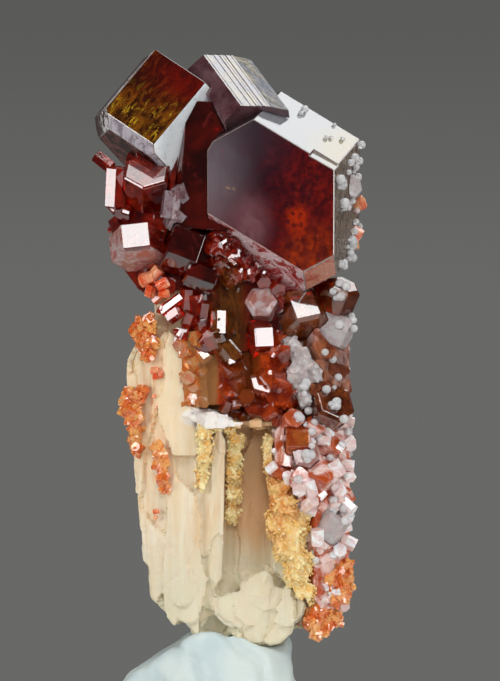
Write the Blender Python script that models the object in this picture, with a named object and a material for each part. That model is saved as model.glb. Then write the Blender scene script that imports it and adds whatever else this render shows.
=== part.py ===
"""Vanadinite on matrix: hexagonal red crystals grown on a column of bladed baryte, in a lump of putty.

The specimen stands 41 mm tall. X runs left to right across its front, Z runs up from the flat
underside of the putty, and Y runs away from a viewer who looks at the front. Sizes below are in
millimetres, and MM turns them into Blender's metres.
"""
import math
import random

import bmesh
import bpy
from mathutils import Matrix, Vector

MM = 0.001
CONTACT_GAP = 0.06
DEPTH_SHIFT = 0.35
BLOCK_REACH = 30.0
MERGE_DISTANCE = 0.002
MERGE_SHARES = (1.0, 0.25, 0.05, 0.0)
PYRAMID_ANGLE = math.radians(39.4)
FLAT_ANGLE = math.radians(0.5)
LARGE_CRYSTAL_LENGTH = 9.8
REACH_MARGIN = 1.6
BLADE_TOP_SLANT = 32.0
BLADE_FOOT_SLANT = 38.0
LEAF_SIDES = 10
KNOB_FACETS = 8
KNOB_TURN = 2.4
PUTTY_BASE = (6.6, 5.6)
PUTTY_TOP = 4.7
PUTTY_FOOT_SHIFT = -0.8
PUTTY_FOOT_TOP = 1.3
PUTTY_FOOT_SIDES = 14
PUTTY_FOOT_SLOPES = ((8, 1.0), (50, 0.86))
PUTTY_FOOT_RISE = 0.9

PARTS_NAME = "vanadinite_on_matrix"
CUTTERS_NAME = "cutters"


def empty_scene():
    """Removes every object and opens one collection for the parts and one for the cutters."""
    for item in list(bpy.data.objects):
        bpy.data.objects.remove(item, do_unlink=True)
    collections = []
    for name in (PARTS_NAME, CUTTERS_NAME):
        collection = bpy.data.collections.new(name)
        bpy.context.scene.collection.children.link(collection)
        collections.append(collection)
    return collections


def material(name, colour, roughness, metallic=0.0):
    """A plain surface in one colour, for a part of its own."""
    surface = bpy.data.materials.new(name)
    surface.use_nodes = True
    shader = surface.node_tree.nodes["Principled BSDF"]
    shader.inputs["Base Color"].default_value = (*colour, 1.0)
    shader.inputs["Roughness"].default_value = roughness
    shader.inputs["Metallic"].default_value = metallic
    surface.diffuse_color = (*colour, 1.0)
    return surface


def axes(along, facing):
    """Three unit axes: the first square to the facing side, the last along the crystal's length."""
    length_axis = Vector(along).normalized()
    side_axis = Vector(facing)
    side_axis = (side_axis - length_axis * side_axis.dot(length_axis)).normalized()
    return side_axis, length_axis.cross(side_axis), length_axis


def crystal(place, along, facing, width, length, bevel=0.0):
    """A hexagonal prism as a centre and a list of its faces, each a direction and a distance.

    The width is one number across the flats, or six distances from the centre to the sides. The
    bevel is one number for every edge of both ends, or six for the end that the length axis
    points to: they are the pyramid faces between the sides and that end.
    """
    side_axis, cross_axis, length_axis = axes(along, facing)
    reaches = [width / 2] * 6 if isinstance(width, (int, float)) else width
    one_end = not isinstance(bevel, (int, float))
    bevels = bevel if one_end else [bevel] * 6
    faces = [(length_axis, length / 2), (-length_axis, length / 2)]
    for side in range(6):
        angle = math.radians(60 * side)
        outward = side_axis * math.cos(angle) + cross_axis * math.sin(angle)
        faces.append((outward, reaches[side]))
        if bevels[side] <= 0:
            continue
        for end in ((1,) if one_end else (1, -1)):
            slope = outward * math.sin(PYRAMID_ANGLE) + length_axis * end * math.cos(PYRAMID_ANGLE)
            reach = reaches[side] * math.sin(PYRAMID_ANGLE)
            reach += (length / 2 - bevels[side]) * math.cos(PYRAMID_ANGLE)
            faces.append((slope, reach))
    return Vector(place), faces


def plate_axes(turn, lean, tilt=0.0):
    """A plate's axes across, through and up it, once it is turned, leaned to the right and tilted."""
    turned = Matrix.Rotation(math.radians(turn), 3, "Z") @ Matrix.Rotation(math.radians(lean), 3, "Y")
    turned = turned @ Matrix.Rotation(math.radians(tilt), 3, "X")
    return turned @ Vector((1, 0, 0)), turned @ Vector((0, 1, 0)), turned @ Vector((0, 0, 1))


def blade(place, size, turn=0.0, lean=0.0, tip=0.35, ridge=14.0):
    """An upright plate of baryte: cut corners at both ends, and a low ridge along each broad side."""
    width, thickness, height = size
    across, through, upward = plate_axes(turn, lean)
    faces = [(across, width / 2), (-across, width / 2), (upward, height / 2), (-upward, height / 2)]
    slant = math.radians(ridge)
    for broad in (1, -1):
        for side in (1, -1):
            outward = through * broad * math.cos(slant) + across * side * math.sin(slant)
            faces.append((outward, thickness / 2 * math.cos(slant)))
    for side in (1, -1):
        for end, angle in ((1, BLADE_TOP_SLANT), (-1, BLADE_FOOT_SLANT)):
            rise = math.radians(angle)
            outward = across * side * math.cos(rise) + upward * end * math.sin(rise)
            reach = width / 2 * math.cos(rise) + height / 2 * math.sin(rise)
            faces.append((outward, reach - tip * width * math.cos(rise)))
    return Vector(place), faces


def leaf(place, size, turn=0.0, lean=0.0, tilt=0.0):
    """A rounded plate of baryte, like the blades of a rosette."""
    width, thickness, height = size
    across, through, upward = plate_axes(turn, lean, tilt)
    faces = [(through, thickness / 2), (-through, thickness / 2)]
    for step in range(LEAF_SIDES):
        angle = 2 * math.pi * (step + 0.5) / LEAF_SIDES
        outward = across * math.cos(angle) + upward * math.sin(angle)
        reach = math.hypot(width / 2 * math.cos(angle), height / 2 * math.sin(angle))
        faces.append((outward, reach))
    return Vector(place), faces


def lump(place, radius, dice, squash=1.0):
    """An irregular knob with flat facets, as a centre and its faces."""
    faces = []
    for step in range(KNOB_FACETS):
        height = 1 - 2 * (step + 0.5) / KNOB_FACETS
        angle = step * KNOB_TURN + dice.uniform(-0.3, 0.3)
        ring = math.sqrt(1 - height * height)
        outward = Vector((ring * math.cos(angle), ring * math.sin(angle), height * squash))
        faces.append((outward.normalized(), radius * dice.uniform(0.8, 1.0)))
    return Vector(place), faces


def solid(form, grow=0.0):
    """A closed mesh for one form: a block cut back to each of the form's faces in turn."""
    place, faces = form
    mesh = bmesh.new()
    bmesh.ops.create_cube(mesh, size=BLOCK_REACH)
    for outward, reach in faces:
        everything = list(mesh.verts) + list(mesh.edges) + list(mesh.faces)
        bmesh.ops.bisect_plane(
            mesh,
            geom=everything,
            dist=MERGE_DISTANCE / 10,
            plane_co=outward * (reach + grow),
            plane_no=outward,
            clear_outer=True,
        )
        rim = [edge for edge in mesh.edges if edge.is_boundary]
        if rim:
            bmesh.ops.holes_fill(mesh, edges=rim, sides=0)
    bmesh.ops.remove_doubles(mesh, verts=mesh.verts, dist=MERGE_DISTANCE)
    shift = place + Vector((0, DEPTH_SHIFT, 0))
    bmesh.ops.translate(mesh, verts=mesh.verts, vec=shift)
    bmesh.ops.scale(mesh, verts=mesh.verts, vec=(MM, MM, MM))
    bmesh.ops.recalc_face_normals(mesh, faces=mesh.faces)
    return mesh


def mesh_object(name, mesh, collection):
    """An object in a collection for a bmesh, which is freed."""
    data = bpy.data.meshes.new(name)
    mesh.to_mesh(data)
    mesh.free()
    item = bpy.data.objects.new(name, data)
    collection.objects.link(item)
    return item


def span(form):
    """How far a form can reach from its centre in any direction."""
    return max(reach for _, reach in form[1]) * REACH_MARGIN


def near(form, others):
    """The forms among the others that may touch this one."""
    return [other for other in others if (other[0] - form[0]).length < span(form) + span(other)]


def combine(target, forms, operation, grow, cutters):
    """Adds forms to the target, or takes them from it, with an exact Boolean, and applies it."""
    if not forms:
        return
    tools = bpy.data.collections.new("tools")
    cutters.children.link(tools)
    for form in forms:
        tool = mesh_object("tool", solid(form, grow), tools)
        tool.hide_render = True
        tool.display_type = "WIRE"
    boolean = target.modifiers.new(operation.lower(), "BOOLEAN")
    boolean.operation = operation
    boolean.operand_type = "COLLECTION"
    boolean.collection = tools
    boolean.solver = "EXACT"
    boolean.use_self = False
    bpy.context.view_layer.update()
    graph = bpy.context.evaluated_depsgraph_get()
    result = bpy.data.meshes.new_from_object(target.evaluated_get(graph))
    target.modifiers.clear()
    old = target.data
    target.data = result
    bpy.data.meshes.remove(old)
    for tool in list(tools.objects):
        data = tool.data
        bpy.data.objects.remove(tool)
        bpy.data.meshes.remove(data)
    bpy.data.collections.remove(tools)


def connected_bodies(mesh):
    """The mesh's vertices in sets, one for each connected body, the biggest body first."""
    left = set(mesh.verts)
    bodies = []
    while left:
        stack = [left.pop()]
        body = set(stack)
        while stack:
            for edge in stack.pop().link_edges:
                for vertex in edge.verts:
                    if vertex in left:
                        left.remove(vertex)
                        body.add(vertex)
                        stack.append(vertex)
        bodies.append(body)
    return sorted(bodies, key=volume_of, reverse=True)


def keep_largest(item):
    """Leaves only the biggest body of a mesh, with slivers merged as far as it stays closed."""
    for share in MERGE_SHARES:
        mesh = bmesh.new()
        mesh.from_mesh(item.data)
        distance = share * MERGE_DISTANCE * MM
        if distance > 0:
            bmesh.ops.remove_doubles(mesh, verts=mesh.verts, dist=distance)
            bmesh.ops.dissolve_degenerate(mesh, edges=mesh.edges, dist=distance)
        bodies = connected_bodies(mesh)
        for body in bodies[1:]:
            bmesh.ops.delete(mesh, geom=list(body), context="VERTS")
        bmesh.ops.dissolve_limit(
            mesh,
            angle_limit=FLAT_ANGLE,
            use_dissolve_boundaries=False,
            verts=mesh.verts,
            edges=mesh.edges,
            delimit=set(),
        )
        closed = all(len(edge.link_faces) == 2 for edge in mesh.edges)
        if closed or share == MERGE_SHARES[-1]:
            mesh.to_mesh(item.data)
            mesh.free()
            return len(bodies) - 1, closed
        mesh.free()


def volume_of(body):
    """The volume enclosed by the faces on a set of vertices."""
    total = 0.0
    for face in {face for vertex in body for face in vertex.link_faces}:
        corners = [vertex.co for vertex in face.verts]
        for index in range(1, len(corners) - 1):
            total += corners[0].dot(corners[index].cross(corners[index + 1])) / 6
    return abs(total)


def make_part(name, forms, earlier, surface, parts, cutters):
    """One named part: its forms joined in one solid, less whatever earlier parts take up."""
    item = mesh_object(name, solid(forms[0]), parts)
    combine(item, forms[1:], "UNION", 0.0, cutters)
    taken = []
    for form in forms:
        for other in near(form, earlier):
            if other not in taken:
                taken.append(other)
    combine(item, taken, "DIFFERENCE", CONTACT_GAP, cutters)
    dropped, closed = keep_largest(item)
    item.data.materials.clear()
    item.data.materials.append(surface)
    faces = sum(len(face.vertices) - 2 for face in item.data.polygons)
    state = "closed" if closed else "OPEN"
    print(f"{name}: {len(forms)} forms, {faces} triangles, {dropped} loose bits left out, {state}")
    return item


def large_crystal():
    """The big deep-red crystal whose six-sided end looks at the viewer, bevelled along its foot."""
    sides = [3.98, 4.43, 5.50, 3.98, 4.85, 5.51]
    foot_bevels = [0, 0, 0, 0, 2.15, 1.0]
    along = (-0.175, -0.961, -0.214)
    facing = (1, 0, 0)
    place, faces = crystal((3.69, -0.29, 31.83), along, facing, sides, LARGE_CRYSTAL_LENGTH, foot_bevels)
    side_axis, cross_axis, _ = axes(along, facing)
    for angle, reach in ((150, 5.27), (210, 4.95)):
        turn = math.radians(angle)
        faces.append((side_axis * math.cos(turn) + cross_axis * math.sin(turn), reach))
    return [(place, faces)]


def left_crystal():
    """The amber crystal at the upper left, its length running down to the left."""
    along = (-0.624, -0.198, -0.756)
    facing = (-0.212, -0.888, 0.408)
    bevels = [0.62, 0.85, 0.4, 0, 0.3, 0.28]
    return [crystal((-3.81, 0.57, 36.24), along, facing, 7.2, 5.75, bevels)]


def top_crystal():
    """The purple crystal behind, its striped side facing up to the right."""
    along = (0.459, -0.611, -0.645)
    facing = (0.384, -0.518, 0.764)
    place, faces = crystal((0.66, -0.95, 37.61), along, facing, [1.75, 2.5, 1.9, 1.75, 1.9, 2.44], 5.1)
    side_axis, cross_axis, _ = axes(along, facing)
    turn = math.radians(-10)
    faces.append((side_axis * math.cos(turn) + cross_axis * math.sin(turn), 1.79))
    return [(place, faces)]


def back_crystal():
    """The dark crystal between the large one and the left one."""
    return [crystal((-0.77, -0.93, 33.3), (0.07, 0.12, 1), (-0.12, -0.99, 0.1), 5.4, 8.0)]


SINGLE_CRYSTALS = {
    "pink_topped_crystal": ((-4.85, -2.5, 32.5), (0, -0.72, 0.69), (0.35, -0.6, -0.6), 2.75, 2.4, 0.12),
    "white_faced_crystal": ((-6.75, -2.5, 32.3), (0.05, -0.1, 1), (-0.55, -0.83, 0.05), 1.25, 2.6, 0.12),
    "outer_left_crystal": ((-7.55, -1.6, 33.9), (0.75, -0.2, -0.6), (0.1, -0.8, 0.6), 0.8, 1.35, 0.08),
    "square_crystal": ((-5.44, -3.3, 28.6), (0.1, -0.47, -0.88), (0, -1, 0), 2.95, 2.0, 0.16),
    "block_crystal": ((-2.7, -3.1, 28.5), (0.93, 0.17, -0.36), (0.1, -0.97, 0.2), 3.0, 2.1, 0.12),
    "lower_block_crystal": ((-1.55, -3.6, 26.8), (0.85, 0.2, -0.3), (-0.1, -0.95, 0.3), 1.6, 2.0, 0.1),
    "star_crystal": ((2.3, -2.9, 25.0), (-0.1, -0.95, 0.3), (0.8, 0, 0.5), 1.8, 1.7, 0.25),
    "white_square_crystal": ((2.2, -3.1, 22.9), (1, 0.3, 0.05), (0.3, -0.95, 0.1), 2.0, 1.25, 0.08),
    "red_brown_crystal": ((4.8, -2.6, 24.4), (0.3, -0.5, -0.8), (0.1, -0.85, 0.5), 2.6, 2.4, 0.2),
    "brown_prism_crystal": ((7.1, -2.2, 25.5), (0.35, -0.45, 0.8), (-0.3, -0.85, -0.4), 2.0, 1.9, 0.2),
    "grey_faced_crystal": ((6.7, -2.3, 23.5), (0.85, -0.3, -0.35), (-0.15, -0.75, 0.65), 1.9, 2.3, 0.2),
    "lower_dark_crystal": ((6.4, -2.6, 18.5), (0.35, -0.8, 0.45), (0.9, 0.3, 0.1), 2.5, 2.4, 0.2),
    "orange_red_crystal": ((4.5, -3.6, 16.6), (1, 0.1, 0), (0, -1, 0.1), 1.6, 1.5, 0.1),
    "hexagonal_crystal": ((5.0, -3.6, 15.6), (0.05, -0.95, 0.2), (1, 0, 0.3), 1.5, 1.4, 0.15),
    "white_tip_crystal": ((6.5, -2.4, 11.2), (0.5, -0.1, 0.8), (0.3, -0.95, 0.1), 1.8, 1.9, 0.2),
    "side_hexagon_crystal": ((7.68, 0.2, 32.4), (0.7, -0.7, 0.1), (0.3, 0.2, 0.9), 1.35, 1.3, 0.1),
}

# The frosty crystals that run in a band down the right of the front.
FROSTED_BAND = [
    ((4.3, -3.3, 22.4), (-0.5, -0.3, 0.8), (0.3, -0.95, 0.1), 1.15, 1.5, 0.12),
    ((4.9, -3.4, 21.5), (0.5, -0.4, -0.8), (0.03, -0.88, 0.47), 1.3, 1.6, 0.15),
    ((4.5, -3.4, 20.5), (-0.2, -0.5, 0.9), (-0.48, -0.87, 0.07), 1.25, 1.7, 0.15),
    ((4.9, -3.3, 19.4), (0.4, -0.2, -0.9), (0.3, -0.95, 0.1), 1.2, 1.6, 0.12),
    ((5.4, -3.1, 20.6), (0.8, -0.5, 0.3), (-0.1, -0.9, 0.5), 1.1, 1.2, 0.12),
]

# The grey pair and their neighbours, which sit on the front of the dark crystal.
GREY_PAIR = [
    ((-3.35, -3.8, 31.2), (0.12, -0.05, 1), (-0.25, -0.95, 0), 1.0, 1.7),
    ((-3.0, -3.4, 30.3), (0.5, -0.3, 0.7), (0.2, -1, 0), 1.1, 1.3),
    ((-2.6, -3.4, 31.7), (-0.5, -0.2, 0.8), (0.2, -0.9, -0.3), 0.9, 1.5),
]

# Small crystals whose lie shows: place, length axis, facing side, width, length.
DRUSE_CRYSTALS = [
    ((-3.35, -3.4, 25.0), (0.8, 0.1, 0.6), (0, -1, 0.2), 0.6, 1.6),
    ((-3.1, -3.5, 24.4), (0.7, -0.4, 0.5), (-0.48, -0.87, 0.07), 0.8, 0.9),
    ((-2.7, -3.4, 23.1), (0.2, -0.1, 0.9), (-0.48, -0.87, 0.07), 0.75, 0.9),
    ((-0.35, -3.5, 23.9), (0.02, 0.1, 1), (0.3, -0.95, 0.1), 0.95, 1.4),
    ((-0.9, -3.2, 22.7), (0.8, -0.4, 0.3), (0, -0.7, 0.7), 1.4, 1.4),
    ((0.3, -3.2, 22.0), (0.6, -0.1, -0.7), (0.03, -0.88, 0.47), 1.1, 1.3),
    ((-2.35, -3.3, 25.4), (0.1, -0.3, 1), (0.2, -1, 0), 0.8, 1.3),
    ((-1.8, -3.3, 25.0), (-0.1, -0.2, 1), (-0.3, -1, 0), 0.85, 1.3),
    ((-1.3, -3.2, 24.6), (0.15, -0.3, 1), (0.1, -1, 0), 0.8, 1.2),
    ((-2.2, -3.2, 24.1), (0.3, -0.4, 0.9), (-0.2, -1, 0), 0.8, 1.0),
    ((-1.5, -3.2, 23.6), (-0.2, -0.4, 0.9), (0.3, -1, 0), 0.85, 1.1),
]

DRUSE_FIELD = [
    (-4.2, -3.2, 30.5), (-4.4, -2.8, 27.5), (-4.9, -2.6, 26.8), (-4.2, -3.0, 26.4), (-3.6, -3.2, 26.2),
    (-0.3, -3.5, 29.3), (0.3, -3.4, 28.8), (-0.4, -3.6, 28.4), (0.4, -3.5, 28.0), (1.1, -3.5, 27.6),
    (-0.3, -3.6, 27.5), (1.7, -3.3, 27.0), (0.5, -3.5, 26.8), (2.4, -3.2, 26.5), (3.2, -3.1, 26.0),
    (3.5, -2.9, 25.1),
    (-6.2, -2.2, 30.9), (-6.9, -1.5, 31.2), (-6.6, -1.6, 29.8), (-6.2, -1.4, 27.9),
]

BACK_FIELD = [
    (-4.6, 2.7, 31.3), (-2.8, 3.0, 29.4), (-1.2, 2.6, 27.0), (2.2, 2.6, 25.6), (-5.0, 2.4, 28.0),
    (-0.6, 2.8, 30.6),
]

FRONT_CRYSTALS = [
    ((0.25, -2.7, 20.8), (0.3, -0.6, 0.7), (-0.3, -0.9, 0), 1.4, 1.5),
    ((0.05, -2.7, 19.7), (0.5, -0.7, 0.3), (0.1, -0.8, 0.5), 1.25, 1.3),
    ((0.8, -2.7, 20.0), (-0.2, -0.5, 0.8), (0.4, -0.9, 0), 1.1, 1.3),
    ((2.7, -2.7, 21.5), (0.4, -0.8, 0.4), (0.5, 0.2, -0.8), 2.0, 1.9),
    ((3.5, -2.9, 22.1), (-0.3, -0.7, 0.6), (0.8, -0.3, 0.3), 1.8, 1.8),
    ((3.2, -2.8, 20.3), (0.5, -0.6, 0.6), (0.3, -0.8, -0.4), 2.0, 1.9),
    ((2.4, -2.6, 19.9), (0.1, -0.8, 0.5), (0.9, 0.1, 0.2), 1.6, 1.6),
    ((3.6, -2.9, 19.3), (-0.3, -0.8, 0.3), (0.7, -0.4, 0.6), 1.7, 1.6),
    ((2.9, -2.7, 18.6), (0.2, -0.9, 0.2), (0.8, 0.3, 0.4), 1.3, 1.3),
]

FRONT_CHAIN = [
    (-2.45, -3.3, 22.1), (-1.95, -3.3, 21.4), (-2.3, -3.3, 20.6), (-1.8, -3.3, 19.9), (-2.0, -3.3, 19.1),
    (-1.4, -3.3, 21.9), (-1.5, -3.3, 20.8), (-1.6, -3.3, 18.7), (-2.6, -3.3, 22.7), (-1.9, -3.3, 22.9),
    (0.6, -2.9, 18.9), (1.3, -2.8, 19.2),
]

RIGHT_CRYSTALS = [
    ((3.8, -3.4, 15.5), (0.1, 0.1, 0.9), (0.3, -0.95, 0.1), 0.85, 1.1),
    ((3.25, -3.4, 14.7), (0.8, 0.1, -0.4), (0.3, -0.95, 0.1), 0.8, 0.9),
    ((4.75, -3.6, 14.2), (0.7, 0.1, -0.6), (0.3, -0.95, 0.1), 1.4, 1.4),
    ((5.8, -3.1, 14.3), (0.3, -0.7, 0.6), (0.8, -0.2, 0.3), 1.9, 1.8),
    ((7.0, -2.0, 12.9), (0.6, -0.5, 0.5), (0.1, -0.8, 0.4), 1.5, 1.5),
    ((4.2, -3.3, 17.7), (0.2, -0.8, 0.5), (0.8, 0, 0.3), 1.2, 1.2),
    ((5.4, -3.2, 17.3), (0.5, -0.6, 0.5), (0.3, -0.8, 0.2), 1.2, 1.2),
    ((6.5, -2.6, 16.2), (0.5, -0.6, 0.4), (-0.3, -0.8, 0.3), 1.5, 1.4),
    ((7.1, -1.9, 15.0), (0.7, -0.4, 0.5), (0, -0.9, 0.2), 1.3, 1.3),
    ((6.6, -1.9, 20.9), (0.6, -0.5, 0.5), (-0.2, -0.8, 0.4), 1.6, 1.6),
    ((7.0, -1.4, 19.9), (0.8, -0.4, 0.3), (0, -0.9, 0.3), 1.3, 1.3),
    ((6.0, -2.6, 22.2), (0.3, -0.8, 0.3), (0.8, 0, 0.5), 1.5, 1.4),
    ((5.6, -3.0, 19.6), (0.3, -0.8, 0.4), (0.9, 0, 0.1), 1.3, 1.3),
    ((5.2, -3.1, 12.9), (0.2, -0.8, 0.5), (0.7, 0.1, -0.4), 1.3, 1.2),
    ((6.0, -2.6, 12.6), (-0.4, -0.7, 0.5), (0.7, -0.4, 0.4), 1.2, 1.2),
    ((5.9, -2.6, 10.2), (0.5, -0.7, 0.3), (0.1, -0.6, 0.8), 1.2, 1.2),
]

UPPER_TUFT = [
    (-4.7, -3.0, 24.0), (-5.2, -2.8, 23.7), (-4.6, -3.1, 23.4), (-5.3, -2.7, 23.1), (-4.9, -3.1, 22.8),
    (-4.4, -3.2, 22.6), (-5.0, -3.0, 22.3), (-4.7, -3.1, 21.9), (-5.5, -2.5, 23.5),
]

LOWER_TUFT = [
    (-5.9, -2.2, 19.6), (-5.4, -2.7, 19.3), (-6.1, -2.1, 19.0), (-5.5, -2.6, 18.7), (-5.9, -2.3, 18.4),
    (-6.2, -2.0, 18.5), (-5.4, -2.7, 18.0), (-5.9, -2.3, 17.8), (-5.5, -2.5, 17.3), (-5.6, -2.5, 16.7),
    (-5.4, -2.6, 16.1), (-5.1, -2.8, 19.7),
]

LEFT_PATCH = [
    (-4.2, -3.2, 16.1), (-3.9, -3.3, 15.6), (-4.2, -3.2, 15.1), (-3.8, -3.3, 14.7), (-3.9, -3.3, 14.1),
    (-3.6, -3.3, 13.6),
]

RIGHT_TUFT = [
    (6.8, -2.1, 9.1), (7.4, -1.7, 8.8), (7.0, -2.0, 8.4), (7.6, -1.5, 8.1), (7.1, -1.9, 7.8),
    (7.6, -1.4, 7.4), (6.9, -2.0, 7.2), (7.3, -1.7, 6.9), (6.7, -2.1, 6.6), (6.5, -2.2, 7.9),
    (6.4, -2.2, 9.0), (6.5, -2.1, 7.2),
]

BOTTOM_TUFT = [
    (5.6, -2.5, 5.9), (6.2, -2.2, 5.6), (5.7, -2.4, 5.2), (6.4, -2.0, 5.0), (5.8, -2.3, 4.7),
    (6.3, -2.0, 6.2), (5.4, -2.6, 5.4), (6.8, -1.8, 5.5),
]

# The low cores under the tufts: place, (width, thickness, height), turn, lean, tip.
UPPER_TUFT_CORE = [((-4.9, -2.6, 23.0), (1.1, 1.0, 2.4), -16, -8, 0.3)]
LOWER_TUFT_CORE = [
    ((-5.7, -2.0, 18.7), (1.1, 1.1, 2.0), -34, -4, 0.3),
    ((-5.5, -2.2, 17.2), (0.6, 1.0, 3.2), -34, -8, 0.3),
]
LEFT_PATCH_CORE = [((-3.9, -3.1, 14.8), (0.6, 0.8, 3.0), -8, -9, 0.4)]
RIGHT_TUFT_CORE = [((7.0, -1.6, 7.9), (1.3, 1.2, 2.8), 40, 4, 0.3)]
BOTTOM_TUFT_CORE = [((6.0, -2.1, 5.4), (1.5, 1.2, 1.6), 30, 0, 0.3)]

# Ochre knobs: place and radius, following the photograph's two tracks down the front.
CENTRE_OCHRE = [
    ((-1.2, -3.4, 16.9), 0.5), ((-1.25, -3.4, 16.1), 0.5), ((-1.3, -3.4, 15.3), 0.5),
    ((-1.4, -3.3, 14.5), 0.45), ((-1.5, -3.2, 13.8), 0.4), ((-0.5, -3.2, 17.4), 0.45),
    ((0.2, -2.9, 17.4), 0.5), ((0.5, -2.6, 16.6), 0.6), ((0.4, -2.4, 15.5), 0.6),
    ((0.5, -2.2, 14.4), 0.6), ((0.45, -2.1, 13.2), 0.6), ((0.3, -2.0, 12.0), 0.6),
    ((0.3, -2.0, 10.8), 0.55), ((0.2, -2.0, 9.8), 0.5), ((0.4, -2.1, 8.9), 0.45),
]
RIGHT_OCHRE = [
    ((2.9, -2.6, 16.1), 0.6), ((3.0, -2.7, 15.0), 0.65), ((3.4, -2.9, 13.8), 0.85),
    ((3.8, -3.0, 12.5), 0.95), ((3.5, -2.9, 11.2), 0.9), ((4.3, -3.0, 10.8), 0.85),
    ((3.9, -3.0, 9.8), 0.95), ((4.7, -3.0, 9.1), 0.85), ((4.4, -3.0, 8.2), 0.85),
    ((5.0, -2.9, 7.1), 0.7), ((5.0, -2.9, 12.0), 0.6),
]

# Baryte blades: place, (width, thickness, height), turn about the upright, lean to the right, tip.
MATRIX_BLADES = [
    ((-3.05, -0.6, 22.0), (2.4, 4.2, 9.6), -8, -2, 0.3),
    ((-4.2, -0.9, 15.6), (2.4, 3.6, 15.4), -14, -5.5, 0.42),
    ((-3.3, -0.9, 12.0), (2.9, 4.4, 13.8), -10, -4.5, 0.5),
    ((-1.9, -1.3, 11.2), (2.4, 4.0, 13.2), -4, -4, 0.4),
    ((-0.55, -2.1, 12.4), (1.1, 2.8, 10.2), 6, 1, 0.45),
    ((-2.9, -1.6, 14.9), (2.6, 3.6, 17.2), -8, -3.5, 0.4),
    ((1.1, 0.6, 15.5), (4.0, 3.6, 22.0), -3, 0, 0.2),
    ((4.3, 0.1, 15.6), (3.2, 4.4, 21.5), 12, 0, 0.3),
    ((-0.9, -2.9, 18.1), (2.9, 2.2, 0.8), 6, 6, 0.12),
    ((2.3, -1.7, 5.4), (3.6, 2.8, 3.4), 4, -8, 0.25),
    ((-0.7, -1.2, 5.8), (3.0, 3.0, 3.4), -6, -10, 0.25),
    ((2.2, -1.7, 7.4), (2.2, 1.8, 2.6), -8, 38, 0.3),
    ((-3.4, 2.0, 16.5), (2.6, 2.8, 16.0), 14, -3, 0.35),
    ((-1.0, 2.6, 14.5), (3.4, 2.6, 19.0), -8, -2, 0.35),
    ((2.0, 2.8, 15.5), (3.2, 2.6, 20.0), 10, 2, 0.35),
    ((4.2, 2.1, 14.0), (2.6, 2.8, 17.0), -20, 1, 0.35),
    ((0.6, 0.7, 6.2), (6.2, 5.0, 4.6), 0, 0, 0.2),
]

# Rounded leaves of baryte at the foot of the front: place, size, turn, lean, tilt.
MATRIX_LEAVES = [
    ((0.6, -2.9, 6.0), (3.0, 0.8, 2.5), 8, 14, -14),
    ((3.9, -2.7, 6.3), (2.5, 0.9, 2.7), -16, -12, -10),
    ((2.3, -2.6, 4.9), (3.8, 1.1, 2.1), 4, -6, -8),
    ((2.2, -2.4, 7.0), (3.2, 0.9, 1.8), -6, 30, -20),
    ((-2.6, -2.6, 7.4), (2.2, 0.8, 4.6), -16, -22, -6),
]


def sprinkle(places, seed, widths, lean=0.8, towards=-1):
    """Small crystals at the given places, each turned its own way, out to the front or the back."""
    dice = random.Random(seed)
    forms = []
    for place in places:
        along = (dice.uniform(-lean, lean), towards * dice.uniform(0.2, 1.0), dice.uniform(-lean, lean))
        facing = (dice.uniform(-1, 1), dice.uniform(-1, 0.3), dice.uniform(-1, 1))
        width = dice.uniform(*widths)
        forms.append(crystal(place, along, facing, width, width * dice.uniform(0.85, 1.35)))
    return forms


def flank(seed, count, heights, swing, widths, reach):
    """Small crystals round the right-hand side of the column, from the front edge to the back."""
    dice = random.Random(seed)
    forms = []
    for step in range(count):
        z = heights[0] + (heights[1] - heights[0]) * (step + dice.uniform(0.2, 0.8)) / count
        angle = math.radians(dice.uniform(*swing))
        outward = Vector((math.cos(angle), math.sin(angle), dice.uniform(-0.3, 0.5)))
        place = Vector((reach[0], reach[1], z)) + Vector((outward.x * reach[2], outward.y * reach[3], 0))
        facing = (dice.uniform(-1, 1), dice.uniform(-1, 1), dice.uniform(-1, 1))
        width = dice.uniform(*widths)
        forms.append(crystal(place, outward, facing, width, width * dice.uniform(1.0, 1.5)))
    return forms


def centre_druse():
    """The crust of small crystals that fills the room between the big ones and the matrix."""
    forms = [
        blade((-2.9, 0.2, 30.2), (6.4, 6.0, 8.6), -8, 0, 0.18, 8),
        blade((0.6, -0.2, 25.6), (8.0, 5.4, 5.2), 0, 0, 0.16, 8),
        blade((3.6, 0.6, 24.8), (5.2, 5.2, 5.0), 12, 0, 0.16, 8),
        blade((-3.6, 0.4, 33.5), (4.6, 4.2, 4.4), -10, 0, 0.2, 8),
        blade((0.6, -1.6, 23.6), (4.6, 2.6, 3.0), 0, 0, 0.2, 8),
    ]
    forms += [crystal(*row) for row in DRUSE_CRYSTALS]
    forms += sprinkle(DRUSE_FIELD, 11, (0.7, 1.15))
    return forms + sprinkle(BACK_FIELD, 12, (1.5, 2.4), 0.5, 1)


def front_crystals():
    """The red-brown crystals and the orange chain below the druse, on the front of the matrix."""
    cores = [
        blade((-1.9, -2.7, 20.6), (1.5, 1.6, 5.0), 0, -4, 0.3),
        blade((-0.3, -2.3, 20.4), (3.2, 1.9, 3.2), 0, 0, 0.2),
        blade((2.6, -1.9, 20.4), (3.6, 1.9, 4.6), 4, 0, 0.2),
    ]
    return cores + [crystal(*row) for row in FRONT_CRYSTALS] + sprinkle(FRONT_CHAIN, 23, (0.6, 0.95))


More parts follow.
